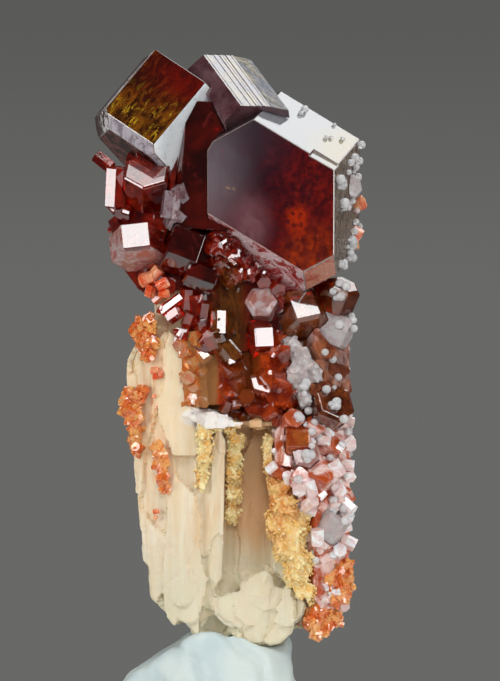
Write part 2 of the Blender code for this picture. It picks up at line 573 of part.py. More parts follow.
def right_crust():
    """The crust of crystals that runs down the right-hand side of the matrix."""
    cores = [
        blade((4.2, -2.5, 15.8), (2.4, 1.6, 4.2), 10, 0, 0.2, 8),
        blade((5.6, -0.9, 16.6), (2.6, 4.2, 15.4), 34, 0, 0.2, 8),
        blade((5.6, -0.6, 12.2), (2.6, 4.2, 12.2), 34, 1, 0.2, 8),
    ]
    small = flank(31, 14, (8.0, 23.6), (-60, 70), (0.7, 1.3), (4.6, -0.4, 2.2, 2.2))
    return cores + [crystal(*row) for row in RIGHT_CRYSTALS] + small


def tuft(places, seed, cores, widths=(0.45, 0.75)):
    """A tuft of small orange crystals on a low core that follows the matrix."""
    return [blade(*core) for core in cores] + sprinkle(places, seed, widths)


def baryte_matrix():
    """The cream column: upright blades of baryte grown together."""
    return [blade(*row) for row in MATRIX_BLADES] + [leaf(*row) for row in MATRIX_LEAVES]


def ochre(rows, seed):
    """A track of ochre knobs."""
    dice = random.Random(seed)
    return [lump(place, radius, dice) for place, radius in rows]


def putty_mount():
    """The lump of white putty that the specimen stands in: steep on the right, flat underneath."""
    half_width, half_depth = PUTTY_BASE
    lump_faces = [
        ((0, 0, -1), 0.0), ((0.1, 0, 1), PUTTY_TOP), ((1, 0, 0.04), 4.25),
        ((-0.545, 0, 0.84), 4.85), ((-0.9, 0, 0.45), 6.3), ((0, -0.93, 0.37), 4.6),
        ((0.7, -0.65, 0.3), 5.3), ((-0.5, -0.75, 0.45), 5.4), ((0, 0.93, 0.37), 4.8),
        ((0.7, 0.65, 0.3), 5.4), ((-0.5, 0.75, 0.45), 5.6), ((0.5, -0.4, 0.77), 5.3),
    ]
    foot_faces = [((0, 0, -1), 0.0), ((0, 0, 1), PUTTY_FOOT_TOP)]
    for step in range(PUTTY_FOOT_SIDES):
        angle = 2 * math.pi * step / PUTTY_FOOT_SIDES
        across = half_depth * math.cos(angle)
        through = half_width * math.sin(angle)
        radius = half_width * half_depth / math.hypot(across, through)
        for rise, share in PUTTY_FOOT_SLOPES:
            slope = math.radians(rise)
            flat = math.cos(slope)
            outward = (math.cos(angle) * flat, math.sin(angle) * flat, math.sin(slope))
            reach = share * radius * flat + PUTTY_FOOT_RISE * math.sin(slope)
            foot_faces.append((outward, reach))
    lump_place = (0, -DEPTH_SHIFT, 0)
    foot_place = (PUTTY_FOOT_SHIFT, -DEPTH_SHIFT, 0)
    forms = []
    for place, rows in ((lump_place, lump_faces), (foot_place, foot_faces)):
        faces = [(Vector(outward).normalized(), reach / Vector(outward).length) for outward, reach in rows]
        forms.append((Vector(place), faces))
    return forms


DEEP_RED = (0.16, 0.012, 0.008)
AMBER = (0.32, 0.06, 0.012)
PURPLE = (0.14, 0.03, 0.045)
ORANGE = (0.62, 0.13, 0.02)
ROSE = (0.55, 0.33, 0.33)
CREAM = (0.72, 0.62, 0.5)
OCHRE = (0.55, 0.32, 0.1)
PUTTY_WHITE = (0.72, 0.78, 0.8)


def part_list():
    """Every part in order: those named first keep their whole shape, and later ones give way."""
    rows = [
        ("large_crystal", large_crystal(), DEEP_RED, 0.08),
        ("left_crystal", left_crystal(), AMBER, 0.08),
        ("top_crystal", top_crystal(), PURPLE, 0.12),
        ("back_crystal", back_crystal(), DEEP_RED, 0.1),
    ]
    for name, row in SINGLE_CRYSTALS.items():
        rows.append((name, [crystal(*row)], DEEP_RED if row[0][0] < 2 else ROSE, 0.12))
    rows += [
        ("frosted_crystal", [crystal(*row) for row in FROSTED_BAND], ROSE, 0.25),
        ("baryte_matrix", baryte_matrix(), CREAM, 0.6),
        ("grey_pair", [crystal(*row) for row in GREY_PAIR], DEEP_RED, 0.15),
        ("centre_druse", centre_druse(), DEEP_RED, 0.2),
        ("front_crystals", front_crystals(), ORANGE, 0.2),
        ("right_crust", right_crust(), ROSE, 0.25),
        ("upper_left_tuft", tuft(UPPER_TUFT, 42, UPPER_TUFT_CORE), ORANGE, 0.25),
        ("lower_left_tuft", tuft(LOWER_TUFT, 44, LOWER_TUFT_CORE), ORANGE, 0.25),
        ("left_patch", tuft(LEFT_PATCH, 46, LEFT_PATCH_CORE, (0.35, 0.6)), ORANGE, 0.25),
        ("right_tuft", tuft(RIGHT_TUFT, 48, RIGHT_TUFT_CORE, (0.5, 0.9)), ORANGE, 0.25),
        ("bottom_tuft", tuft(BOTTOM_TUFT, 52, BOTTOM_TUFT_CORE, (0.5, 0.9)), ORANGE, 0.25),
        ("centre_ochre", ochre(CENTRE_OCHRE, 51), OCHRE, 0.8),
        ("right_ochre", ochre(RIGHT_OCHRE, 53), OCHRE, 0.8),
        ("putty_mount", putty_mount(), PUTTY_WHITE, 0.5),
    ]
    return rows


def main():
    """Builds every part."""
    parts, cutters = empty_scene()
    earlier = []
    for name, forms, colour, roughness in part_list():
        make_part(name, forms, earlier, material(name + "_surface", colour, roughness), parts, cutters)
        earlier += forms


main()
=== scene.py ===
"""Looks of the vanadinite specimen: glassy red crystals on a cream baryte column, held in white putty.

The frame gives the CAD solids in metres. Every mesh here is shaped in millimetres, in the same
frame, and MM takes it to metres when it is finished. X runs left to right across the front, Z runs
up from the flat underside of the putty, and Y runs away from a viewer at the front.
"""

import math
import random

import bmesh
import bpy
import numpy as np
from bpy.props import FloatProperty, FloatVectorProperty, IntProperty, PointerProperty
from mathutils import Euler, Matrix, Vector, noise
from mathutils.bvhtree import BVHTree


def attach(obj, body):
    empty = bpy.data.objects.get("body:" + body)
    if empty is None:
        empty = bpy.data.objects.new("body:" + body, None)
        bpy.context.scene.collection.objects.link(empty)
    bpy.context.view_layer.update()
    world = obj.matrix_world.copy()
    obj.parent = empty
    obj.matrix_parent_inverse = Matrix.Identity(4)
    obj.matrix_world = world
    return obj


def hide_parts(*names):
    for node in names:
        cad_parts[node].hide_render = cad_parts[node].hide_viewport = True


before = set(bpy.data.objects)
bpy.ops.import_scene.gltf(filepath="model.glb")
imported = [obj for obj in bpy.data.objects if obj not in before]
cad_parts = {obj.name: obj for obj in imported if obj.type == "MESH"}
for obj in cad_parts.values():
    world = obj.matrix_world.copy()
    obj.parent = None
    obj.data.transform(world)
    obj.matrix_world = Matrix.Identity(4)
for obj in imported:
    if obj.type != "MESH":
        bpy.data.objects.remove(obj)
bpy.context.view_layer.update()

MM = 0.001
BODY = "root"

# Vertices closer than this are one, faces that meet at less than the flat angle are one, and edges
# sharper than the sharp angle get a bevel.
JOIN_DISTANCE = 0.0005
FLAT_ANGLE = math.radians(0.8)
SHARP_ANGLE = math.radians(12)

# The viewer's eye and how much height the view shows at the specimen, and the width of the sensor.
EYE = Vector((1.5625, -400.0, 22.78))
VIEW_HEIGHT = 42.56
SENSOR = 36.0

# Directions that sides of the large and the striped crystal look along, and the striped one's length.
LIT_SIDE = (0.47, -0.272, 0.84)
LARGE_FACE = (-0.175, -0.961, -0.214)
STRIPED_SIDE = (0.384, -0.518, 0.764)
STRIPED_LENGTH = (0.459, -0.611, -0.645)

# Cosines above which a face looks along a side, and is part of the striped side.
SAME_SIDE = 0.97
SAME_PLANE = 0.99

# Share of the clear crystals' absorption that the cloudy ones have.
MILKY_SHARE = 0.05

# The step missing from the large crystal's lit side: its corner across and up, its depth and its reach.
NOTCH_CORNER = (5.35, 34.46)
NOTCH_DEPTH = 0.14
NOTCH_REACH = 1.4

# The rough white crystal at the right: face size and height of its lumps.
BAND_VOXEL = 0.07
BAND_RELIEF = 0.22

# How far out the rays start that look for the surface, and the length above which an edge is cut.
REAR = 30.0
LONG_EDGE = 1.0

bl_info = {
    "name": "Vanadinite on matrix",
    "version": (1, 0, 0),
    "blender": (4, 5, 0),
    "location": "View3D > Sidebar > Specimen",
    "description": "Makes the crystals, matrix, crusts, beads, putty and studio of a vanadinite specimen",
    "category": "Object",
}


# Shapes in millimetres


def merged(*nodes):
    """The CAD nodes' meshes in millimetres, with their loose triangles joined, in one bmesh."""
    mesh = bmesh.new()
    for node in nodes:
        mesh.from_mesh(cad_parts[node].data)
    bmesh.ops.scale(mesh, vec=(1 / MM,) * 3, verts=mesh.verts)
    bmesh.ops.remove_doubles(mesh, verts=mesh.verts, dist=JOIN_DISTANCE)
    return mesh


def tree_of(*nodes):
    """A search tree over CAD nodes, in millimetres."""
    mesh = merged(*nodes)
    found = BVHTree.FromBMesh(mesh)
    mesh.free()
    return found


WHOLE = tree_of(*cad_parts)


def seen(x, z, search=WHOLE):
    """The point and outward normal that a viewer at the front sees at a place across and up."""
    ray = (Vector((x, 0, z)) - EYE).normalized()
    point, normal, _, _ = search.ray_cast(EYE, ray)
    return point, normal


def exposed(point, normal, reach=0.8):
    """Whether nothing stands close in front of a point on the surface."""
    return WHOLE.ray_cast(point + normal * 0.1, normal, reach)[0] is None


def mesh_data(name, mesh):
    """A bmesh as named mesh data. The bmesh is freed."""
    data = bpy.data.meshes.new(name)
    mesh.to_mesh(data)
    mesh.free()
    return data


def loose_object(name, mesh):
    """A scene object for a bmesh, which is freed."""
    item = bpy.data.objects.new(name, mesh_data(name, mesh))
    bpy.context.scene.collection.objects.link(item)
    return item


def evaluated(item):
    """The item's mesh with its modifiers applied, as a new mesh, and the item removed."""
    bpy.context.view_layer.update()
    graph = bpy.context.evaluated_depsgraph_get()
    result = bpy.data.meshes.new_from_object(item.evaluated_get(graph))
    old = item.data
    bpy.data.objects.remove(item)
    bpy.data.meshes.remove(old)
    return result


def remeshed(mesh, voxel):
    """The outer skin of closed forms that may overlap, as small even faces."""
    item = loose_object("skin", mesh)
    skin = item.modifiers.new("skin", "REMESH")
    skin.mode = "VOXEL"
    skin.voxel_size = voxel
    return evaluated(item)


def finished(name, data, surfaces, slot, replaces=(), smooth=False, choose=None):
    """Makes a mesh in millimetres one named piece of the specimen, in metres."""
    if isinstance(data, bmesh.types.BMesh):
        data = mesh_data(name, data)
    data.name = name
    data.transform(Matrix.Scale(MM, 4))
    data.materials.clear()
    for surface in surfaces:
        data.materials.append(surface)
    for face in data.polygons:
        face.use_smooth = smooth
        face.material_index = choose(face) if choose else 0
    item = bpy.data.objects.new(name, data)
    bpy.context.scene.collection.objects.link(item)
    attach(item, BODY)
    if replaces:
        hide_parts(*replaces)
    return item


def coordinates(data):
    """A mesh's vertex positions and normals as arrays."""
    count = len(data.vertices)
    place = np.empty(count * 3, np.float32)
    normal = np.empty(count * 3, np.float32)
    data.vertices.foreach_get("co", place)
    data.vertices.foreach_get("normal", normal)
    return place.reshape(-1, 3), normal.reshape(-1, 3)


def displaced(data, height):
    """Moves each vertex along its normal by height(place), in millimetres."""
    place, normal = coordinates(data)
    rise = np.array([height(Vector(row)) for row in place], np.float32)
    data.vertices.foreach_set("co", (place + normal * rise[:, None]).ravel())
    data.update()


def closed_form(place, faces):
    """A closed bmesh: a block cut back to each face, given as a direction and a distance."""
    mesh = bmesh.new()
    bmesh.ops.create_cube(mesh, size=40.0)
    for outward, reach in faces:
        direction = Vector(outward).normalized()
        everything = list(mesh.verts) + list(mesh.edges) + list(mesh.faces)
        plane = {"plane_co": direction * reach, "plane_no": direction}
        bmesh.ops.bisect_plane(mesh, geom=everything, dist=1e-5, clear_outer=True, **plane)
        rim = [edge for edge in mesh.edges if edge.is_boundary]
        if rim:
            bmesh.ops.holes_fill(mesh, edges=rim, sides=0)
    bmesh.ops.translate(mesh, verts=mesh.verts, vec=Vector(place))
    bmesh.ops.recalc_face_normals(mesh, faces=mesh.faces)
    return mesh


def added(target, other):
    """Puts one bmesh's faces in another, and frees the first."""
    data = mesh_data("joined", other)
    target.from_mesh(data)
    bpy.data.meshes.remove(data)


# Surfaces


class Recipe:
    """Builds one surface's nodes. Its pattern space is the object's own, in millimetres."""

    def __init__(self, name):
        self.surface = bpy.data.materials.new(name)
        self.surface.use_nodes = True
        self.nodes = self.surface.node_tree.nodes
        self.links = self.surface.node_tree.links
        self.shader = self.nodes["Principled BSDF"]
        self.output = self.nodes["Material Output"]
        texture = self.nodes.new("ShaderNodeTexCoord")
        self.outward = texture.outputs["Normal"]
        self.place = self.mapped(texture.outputs["Object"], (1 / MM,) * 3)

    def plug(self, socket, value):
        """Links a socket to another one's output, or gives it a plain value."""
        if isinstance(value, bpy.types.NodeSocket):
            self.links.new(value, socket)
        elif socket.type == "RGBA":
            socket.default_value = (*value, 1.0)
        else:
            socket.default_value = value

    def node(self, kind, inputs, **choices):
        """A new node with its choices made and its inputs plugged in."""
        node = self.nodes.new(kind)
        for label, choice in choices.items():
            setattr(node, label, choice)
        for label, value in inputs.items():
            self.plug(node.inputs[label], value)
        return node

    def mapped(self, place, scale, turn=(0, 0, 0), kind="POINT"):
        """A place that is scaled and turned, in degrees."""
        angles = [math.radians(angle) for angle in turn]
        inputs = {"Vector": place, "Scale": scale, "Rotation": angles}
        return self.node("ShaderNodeMapping", inputs, vector_type=kind).outputs["Vector"]

    def math(self, operation, first, second):
        """One sum on two numbers."""
        return self.node("ShaderNodeMath", {0: first, 1: second}, operation=operation).outputs[0]

    def vector(self, operation, first, second=(0.0, 0.0, 0.0)):
        """One sum on two vectors."""
        node = self.node("ShaderNodeVectorMath", {0: first, 1: second}, operation=operation)
        return node.outputs["Value" if operation in ("LENGTH", "DOT_PRODUCT") else "Vector"]

    def spread(self, value, low, high, to_low=0.0, to_high=1.0):
        """A smooth step from one value to another."""
        inputs = {"Value": value, "From Min": low, "From Max": high, "To Min": to_low, "To Max": to_high}
        return self.node("ShaderNodeMapRange", inputs, interpolation_type="SMOOTHSTEP").outputs["Result"]

    def grain(self, scale, detail=4.0, roughness=0.55, stretch=(1, 1, 1), turn=(0, 0, 0), distortion=0.0):
        """A cloudy pattern from 0 to 1, with a scale in turns per millimetre."""
        inputs = {
            "Vector": self.mapped(self.place, [1 / value for value in stretch], turn, "TEXTURE"),
            "Scale": scale, "Detail": detail, "Roughness": roughness, "Distortion": distortion,
        }
        return self.node("ShaderNodeTexNoise", inputs).outputs[0]

    def pits(self, scale, stretch):
        """The distance to the nearest of many scattered points."""
        inputs = {"Vector": self.mapped(self.place, stretch), "Scale": scale}
        return self.node("ShaderNodeTexVoronoi", inputs).outputs["Distance"]

    def mix(self, amount, first, second):
        """A colour between two others."""
        return self.node("ShaderNodeMix", {0: amount, 6: first, 7: second}, data_type="RGBA").outputs[2]

    def over(self, colour, top, *amounts):
        """A colour with another laid over it, as thickly as the product of the amounts says."""
        thickness = amounts[0]
        for amount in amounts[1:]:
            thickness = self.math("MULTIPLY", thickness, amount)
        return self.mix(thickness, colour, top)

    def spot(self, centre, reach, edge, wobble, amount):
        """1 inside an oval spot and 0 outside it, with a soft edge that wobbles."""
        offset = self.vector("SUBTRACT", self.place, centre)
        size = self.vector("LENGTH", self.vector("MULTIPLY", offset, [1 / value for value in reach]))
        uneven = self.math("MULTIPLY", self.math("SUBTRACT", wobble, 0.5), amount)
        return self.spread(self.math("ADD", size, uneven), 1 + edge / 2, 1 - edge / 2)

    def facing(self, direction, low, high):
        """1 on faces that look along a direction."""
        likeness = self.vector("DOT_PRODUCT", self.outward, Vector(direction).normalized())
        return self.spread(likeness, low, high)

    def bump(self, height, strength, distance):
        """Fine relief from a pattern, in millimetres."""
        inputs = {"Strength": strength, "Distance": distance * MM, "Height": height}
        relief = self.node("ShaderNodeBump", inputs)
        self.links.new(relief.outputs["Normal"], self.shader.inputs["Normal"])

    def glass(self, share, index, absorb=None, density=0.0):
        """Plain see-through values, set on the sockets themselves."""
        self.shader.inputs["Transmission Weight"].default_value = share
        self.shader.inputs["IOR"].default_value = index
        if absorb is not None:
            volume = self.node("ShaderNodeVolumeAbsorption", {"Color": absorb, "Density": density})
            self.links.new(volume.outputs["Volume"], self.output.inputs["Volume"])

    def waxy(self, weight, radius, scale):
        """Light that spreads below the skin, with its reach in millimetres."""
        self.shader.inputs["Subsurface Weight"].default_value = weight
        self.shader.inputs["Subsurface Radius"].default_value = radius
        self.shader.inputs["Subsurface Scale"].default_value = scale * MM

    def polish(self, level):
        """How strongly an opaque surface mirrors the lights."""
        self.shader.inputs["Specular IOR Level"].default_value = level

    def done(self, colour, roughness):
        """Plugs in the colour and the roughness, and gives back the surface."""
        self.plug(self.shader.inputs["Base Color"], colour)
        self.plug(self.shader.inputs["Roughness"], roughness)
        return self.surface


def large_face_surface(settings):
    """The large crystal: plum and deep red, with a painted grey reflection at the left and a painted
    orange glow at the lower right.
    """
    recipe = Recipe("vanadinite_large")
    cloud = recipe.grain(0.45, 6, 0.6, distortion=0.5)
    plumes = recipe.grain(0.75, 8, 0.72, (1, 0.3, 0.8), (0, -20, 0), 1.6)
    veins = recipe.grain(1.6, 8, 0.76, (1, 0.3, 0.75), (0, 25, 0), 0.6)
    specks = recipe.grain(3.6, 5, 0.7, (1, 0.3, 1))
    colour = recipe.mix(recipe.spread(plumes, 0.4, 0.6), (0.032, 0.007, 0.018), (0.11, 0.010, 0.030))
    # Painted glow: light passing through the crystal, painted as a red glow with dark specks.
    glow = recipe.spot((6.6, -6.0, 29.4), (3.5, 14.0, 6.4), 1.4, cloud, 1.4)
    lit = recipe.mix(recipe.spread(veins, 0.34, 0.7), (0.12, 0.006, 0.010), settings.glow)
    lit = recipe.over(lit, (0.09, 0.004, 0.010), recipe.spread(specks, 0.58, 0.4, 0.0, 0.65))
    colour = recipe.over(colour, lit, glow)
    # Painted glow: orange embers of light at the crystal's foot, on sparks and threads.
    embers = recipe.spot((5.6, -6.0, 27.5), (2.1, 14.0, 2.1), 1.2, veins, 1.6)
    sparks = recipe.spread(specks, 0.35, 0.65, 0.35, 1.0)
    threads = recipe.spread(veins, 0.4, 0.58, 0.25, 1.0)
    colour = recipe.over(colour, settings.ember, embers, sparks, threads)
    # Painted glow: a small bright red heart of light.
    heart = recipe.spot((4.5, -6.0, 30.2), (0.6, 14.0, 0.9), 1.2, veins, 2.0)
    colour = recipe.over(colour, (1.0, 0.06, 0.005), heart, recipe.spread(specks, 0.4, 0.52))
    upper = recipe.spot((0.3, -6.0, 36.2), (2.8, 14.0, 3.0), 1.5, cloud, 0.6)
    colour = recipe.over(colour, (0.13, 0.10, 0.13), upper, 0.6)
    # Painted reflection: a grey cloud of reflected light over the left, rosier below, painted in the body
    # colour.
    haze_reflection = recipe.spot((-1.9, -6.0, 31.4), (2.5, 14.0, 4.8), 1.7, plumes, 1.0)
    rosy = recipe.spot((-0.6, -6.0, 28.6), (3.0, 14.0, 2.6), 1.5, cloud, 0.6)
    colour = recipe.over(colour, recipe.mix(rosy, settings.haze_reflection, (0.40, 0.20, 0.23)), haze_reflection)
    ghost = recipe.spot((1.5, -6.0, 30.0), (1.2, 14.0, 1.7), 1.1, plumes, 1.6)
    shade = recipe.mix(recipe.spread(plumes, 0.4, 0.6), (0.34, 0.10, 0.12), (0.60, 0.26, 0.29))
    colour = recipe.over(colour, shade, ghost, 0.75)
    # Painted highlight: a small orange-white glint.
    glint = recipe.spot((0.35, -6.0, 32.15), (0.35, 14.0, 0.3), 1.4, specks, 2.0)
    colour = recipe.over(colour, (1.0, 0.62, 0.36), glint, recipe.spread(specks, 0.5, 0.58))
    # Painted glints: orange-red sparks of fire inside the crystal, where the cloud allows.
    fire_glints = recipe.spread(specks, 0.62, 0.72)
    colour = recipe.over(colour, (0.9, 0.10, 0.06), fire_glints, recipe.spread(cloud, 0.42, 0.58), 0.6)
    dust = recipe.spread(recipe.pits(2.2, (1, 0.2, 1)), 0.07, 0.035)
    colour = recipe.over(colour, (0.75, 0.45, 0.42), dust, 0.55)
    # Painted reflection: the lit side is painted pale blue-grey, turning yellow towards its corner, on top
    # of its real mirror of the back light.
    corner = recipe.spot((8.0, -4.0, 34.6), (2.2, 14.0, 1.6), 1.2, veins, 1.4)
    lit_side_reflection = recipe.mix(corner, (0.66, 0.70, 0.76), (0.86, 0.74, 0.36))
    colour = recipe.over(colour, lit_side_reflection, recipe.facing(LIT_SIDE, 0.9, 0.97))
    recipe.bump(recipe.grain(0.9, 5, 0.5, distortion=0.4), 0.2, 0.02)
    recipe.glass(settings.clearness, settings.index, settings.depth_colour, settings.depth_density)
    return recipe.done(colour, recipe.spread(cloud, 0.2, 0.8, 0.03, 0.1))


def flap_surface(name, dark, light, settings, dull=False):
    """A scarred crystal face: streaks from a dark colour to a light one, clear or dull."""
    recipe = Recipe(name)
    streaks = recipe.grain(0.9, 6, 0.7, (1, 1, 0.4), (0, 40, 0), 1.6)
    fine = recipe.grain(4.0, 5, 0.65)
    colour = recipe.mix(recipe.spread(streaks, 0.43, 0.54), dark, light)
    recipe.bump(recipe.math("ADD", streaks, fine), 0.7, 0.05)
    if dull:
        recipe.polish(0.15)
    else:
        recipe.glass(0.5, 1.9, settings.depth_colour, settings.depth_density * MILKY_SHARE)
    return recipe.done(colour, recipe.spread(fine, 0.3, 0.7, 0.12, 0.3))


def mirror_surface():
    """A crystal side painted blue-white as a painted reflection of a light, with faint etched marks and a
    strong mirror.
    """
    recipe = Recipe("vanadinite_reflection_side")
    fine = recipe.grain(2.6, 6, 0.65, distortion=0.6)
    colour = recipe.mix(recipe.spread(fine, 0.52, 0.72), (0.93, 0.98, 1.0), (0.70, 0.68, 0.70))
    recipe.bump(fine, 0.3, 0.03)
    recipe.polish(1.0)
    return recipe.done(colour, 0.3)


def rim_surface():
    """The chipped left rim of the left crystal: white splinters at the front, over dark brown."""
    recipe = Recipe("vanadinite_rim")
    splinters = recipe.grain(1.5, 6, 0.65, (1.6, 1, 0.35), (0, 38, 0), 0.4)
    depth = recipe.vector("DOT_PRODUCT", recipe.place, (0.0, 1.0, 0.0))
    front = recipe.spread(depth, 1.6, -0.4)
    white = recipe.spread(splinters, 0.47, 0.53)
    colour = recipe.over((0.045, 0.015, 0.015), (0.78, 0.74, 0.74), white, front)
    recipe.bump(splinters, 0.6, 0.05)
    recipe.polish(0.3)
    return recipe.done(colour, 0.3)


def large_side_surface(settings):
    """The brown pitted side at the right of the large crystal."""
    recipe = Recipe("vanadinite_large_side")
    fine = recipe.grain(3.2, 6, 0.7, (1, 0.4, 0.8))
    holes = recipe.pits(3.4, (1, 0.5, 1))
    colour = recipe.mix(recipe.spread(fine, 0.42, 0.64), (0.09, 0.035, 0.014), (0.50, 0.32, 0.17))
    colour = recipe.over(colour, (0.05, 0.018, 0.010), recipe.spread(holes, 0.32, 0.12))
    salt = recipe.grain(5.5, 4, 0.7, (1, 1, 0.6))
    colour = recipe.over(colour, (0.80, 0.74, 0.70), recipe.spread(salt, 0.52, 0.6, 0.0, 0.7))
    recipe.bump(recipe.math("MULTIPLY", recipe.spread(holes, 0.1, 0.45), fine), 0.9, 0.07)
    recipe.glass(0.5, 1.5, settings.depth_colour, settings.depth_density)
    return recipe.done(colour, recipe.spread(fine, 0.3, 0.7, 0.22, 0.45))


def edge_highlight_surface():
    """Lit edges and small bevels, where the glass is painted grey-white as a painted highlight."""
    recipe = Recipe("vanadinite_edge_highlight")
    fine = recipe.grain(4.0, 5, 0.6)
    tint = recipe.mix(recipe.spread(fine, 0.35, 0.7), (0.341, 0.286, 0.253), (0.62, 0.52, 0.46))
    recipe.bump(fine, 0.3, 0.02)
    recipe.glass(0.5, 2.0)
    return recipe.done(tint, 0.12)


def amber_surface(settings):
    """The left crystal: brown glass with a painted amber glow low down and painted yellow glints, turning
    red towards its top right.
    """
    recipe = Recipe("vanadinite_amber")
    cloud = recipe.grain(0.45, 5, 0.6)
    flakes = recipe.grain(1.5, 8, 0.72, (1.0, 0.5, 0.5), (0, 38, 0), 1.0)
    shreds = recipe.grain(2.3, 8, 0.74, (1.4, 0.5, 0.5), (0, 38, 0), 0.9)
    colour = recipe.mix(recipe.spread(flakes, 0.42, 0.64), (0.05, 0.008, 0.001), (0.32, 0.075, 0.003))
    # Painted glow: the lower part is painted amber, for light coming through the crystal.
    low = recipe.spot((-4.6, -3.5, 35.4), (4.0, 14.0, 3.0), 1.0, cloud, 0.9)
    amber_glow = recipe.mix(recipe.spread(flakes, 0.4, 0.62), (0.06, 0.014, 0.001), (0.40, 0.13, 0.006))
    colour = recipe.over(colour, amber_glow, low, 0.8)
    # Painted glints: yellow and orange streaks of light reflected inside the crystal.
    colour = recipe.over(colour, settings.gold_glint, low, recipe.spread(shreds, 0.54, 0.63))
    colour = recipe.over(colour, (0.62, 0.26, 0.01), recipe.spread(flakes, 0.6, 0.7), 0.8)
    red = recipe.spot((-1.8, -3.5, 39.3), (3.4, 14.0, 2.3), 1.2, cloud, 0.6)
    ruby = recipe.mix(recipe.spread(flakes, 0.35, 0.7), (0.08, 0.002, 0.001), (0.30, 0.010, 0.002))
    colour = recipe.over(colour, ruby, red)
    recipe.bump(recipe.grain(1.2, 4), 0.2, 0.02)
    recipe.glass(0.5, settings.index, (0.95, 0.30, 0.08), settings.depth_density)
    return recipe.done(colour, 0.05)


def striped_surface(settings):
    """The top crystal: dark purple-brown glass, with a painted silky sheen on the striped side."""
    recipe = Recipe("vanadinite_purple")
    cloud = recipe.grain(0.7, 5, 0.6)
    fine = recipe.grain(3.5, 5, 0.6)
    colour = recipe.mix(recipe.spread(cloud, 0.35, 0.7), (0.10, 0.026, 0.036), (0.30, 0.15, 0.17))
    silk = recipe.grain(1.6, 6, 0.6, (1, 1, 0.3), (0, -35, 0))
    # Painted sheen: the striped side is painted blue-grey to yellow, on top of its real mirror of the top
    # light.
    sheen = recipe.mix(recipe.spread(silk, 0.4, 0.62), (0.34, 0.36, 0.46), (0.62, 0.56, 0.38))
    colour = recipe.over(colour, sheen, recipe.facing(STRIPED_SIDE, 0.86, 0.95))
    recipe.bump(fine, 0.3, 0.02)
    recipe.glass(0.55, settings.index, settings.depth_colour, settings.depth_density)
    return recipe.done(colour, recipe.spread(fine, 0.3, 0.7, 0.06, 0.2))


def red_surface(name, dark, bright, settings, clearness, scale=0.9, honey=False):
    """Plain red to orange vanadinite with veils inside."""
    recipe = Recipe(name)
    cloud = recipe.grain(scale, 6, 0.62, distortion=0.5)
    veils = recipe.grain(scale * 2.6, 6, 0.7, (1, 1, 0.5), distortion=1.0)
    colour = recipe.mix(recipe.spread(cloud, 0.38, 0.66), dark, bright)
    light = [min(1.0, value * 1.7 + 0.02) for value in bright]
    colour = recipe.over(colour, light, recipe.spread(veils, 0.58, 0.74))
    # Painted shade: druse crystals in the shaded hollow are painted honey brown.
    if honey:
        zone = recipe.spot((0.2, -3.5, 23.8), (1.1, 5.0, 3.4), 0.8, cloud, 0.8)
        brown = recipe.mix(recipe.spread(veils, 0.4, 0.62), (0.20, 0.05, 0.008), (0.46, 0.14, 0.02))
        colour = recipe.over(colour, brown, zone)
    recipe.bump(recipe.grain(2.4, 4), 0.12, 0.02)
    recipe.glass(clearness, settings.index, settings.depth_colour, settings.depth_density)
    return recipe.done(colour, 0.06)


def ruddy_surface(settings):
    """The front crystals: red-brown at the right, orange at the left, with painted honey and caramel shade
    between.
    """
    recipe = Recipe("vanadinite_ruddy")
    cloud = recipe.grain(0.9, 6, 0.62, distortion=0.5)
    veils = recipe.grain(2.4, 6, 0.7, (1, 1, 0.4), distortion=1.0)
    amber = recipe.mix(recipe.spread(veils, 0.4, 0.62), (1.0, 0.22, 0.02), (1.0, 0.52, 0.20))
    colour = recipe.mix(recipe.spread(cloud, 0.4, 0.64), (0.30, 0.020, 0.004), (0.86, 0.10, 0.012))
    # The second and third spots are painted shade: caramel and honey where the hollow behind lies in
    # shadow.
    for top, centre, reach, edge, amount in (
        (amber, (-2.3, -3.5, 21.0), (0.9, 4.0, 3.2), 0.6, 0.6),
        ((0.72, 0.32, 0.11), (-1.0, -3.5, 20.4), (0.6, 4.0, 2.8), 0.5, 0.5),
        ((0.38, 0.07, 0.009), (1.3, -3.5, 21.6), (0.9, 4.0, 3.0), 0.6, 0.5),
    ):
        colour = recipe.over(colour, top, recipe.spot(centre, reach, edge, cloud, amount))
    recipe.bump(recipe.grain(2.4, 4), 0.25, 0.02)
    recipe.glass(0.5, settings.index, (0.95, 0.35, 0.12), settings.depth_density * MILKY_SHARE)
    return recipe.done(colour, 0.07)


def milky_surface(name, dark, bright, roughness, scale, browner=False):
    """Small crystals so full of veils that light spreads in them and doesn't pass straight through."""
    recipe = Recipe(name)
    cloud = recipe.grain(scale, 6, 0.65, distortion=0.5)
    fine = recipe.grain(scale * 4, 5, 0.6)
    colour = recipe.mix(recipe.spread(cloud, 0.42, 0.6), dark, bright)
    if browner:
        upper = recipe.spot((6.3, -3.0, 20.6), (2.0, 6.0, 2.8), 0.5, cloud, 0.6)
        brown = recipe.mix(recipe.spread(cloud, 0.4, 0.62), (0.13, 0.026, 0.010), (0.38, 0.12, 0.05))
        colour = recipe.over(colour, brown, upper)
    recipe.bump(fine, 0.3, 0.03)
    recipe.shader.inputs["IOR"].default_value = 2.0
    recipe.waxy(0.3, (1.0, 0.35, 0.2), 0.3)
    return recipe.done(colour, roughness)


def frosted_surface(name, dark, bright, settings, roughness, scale=1.2, share=0.55):
    """Rose and grey-white vanadinite with a frosty skin over red."""
    recipe = Recipe(name)
    cloud = recipe.grain(scale, 6, 0.65, distortion=0.5)
    fine = recipe.grain(scale * 4, 5, 0.6)
    colour = recipe.mix(recipe.spread(cloud, 0.4, 0.62), dark, bright)
    recipe.bump(fine, 0.4, 0.04)
    recipe.glass(share, 1.8, (0.95, 0.5, 0.4), settings.depth_density * MILKY_SHARE)
    return recipe.done(colour, recipe.spread(fine, 0.3, 0.7, roughness * 0.5, roughness))


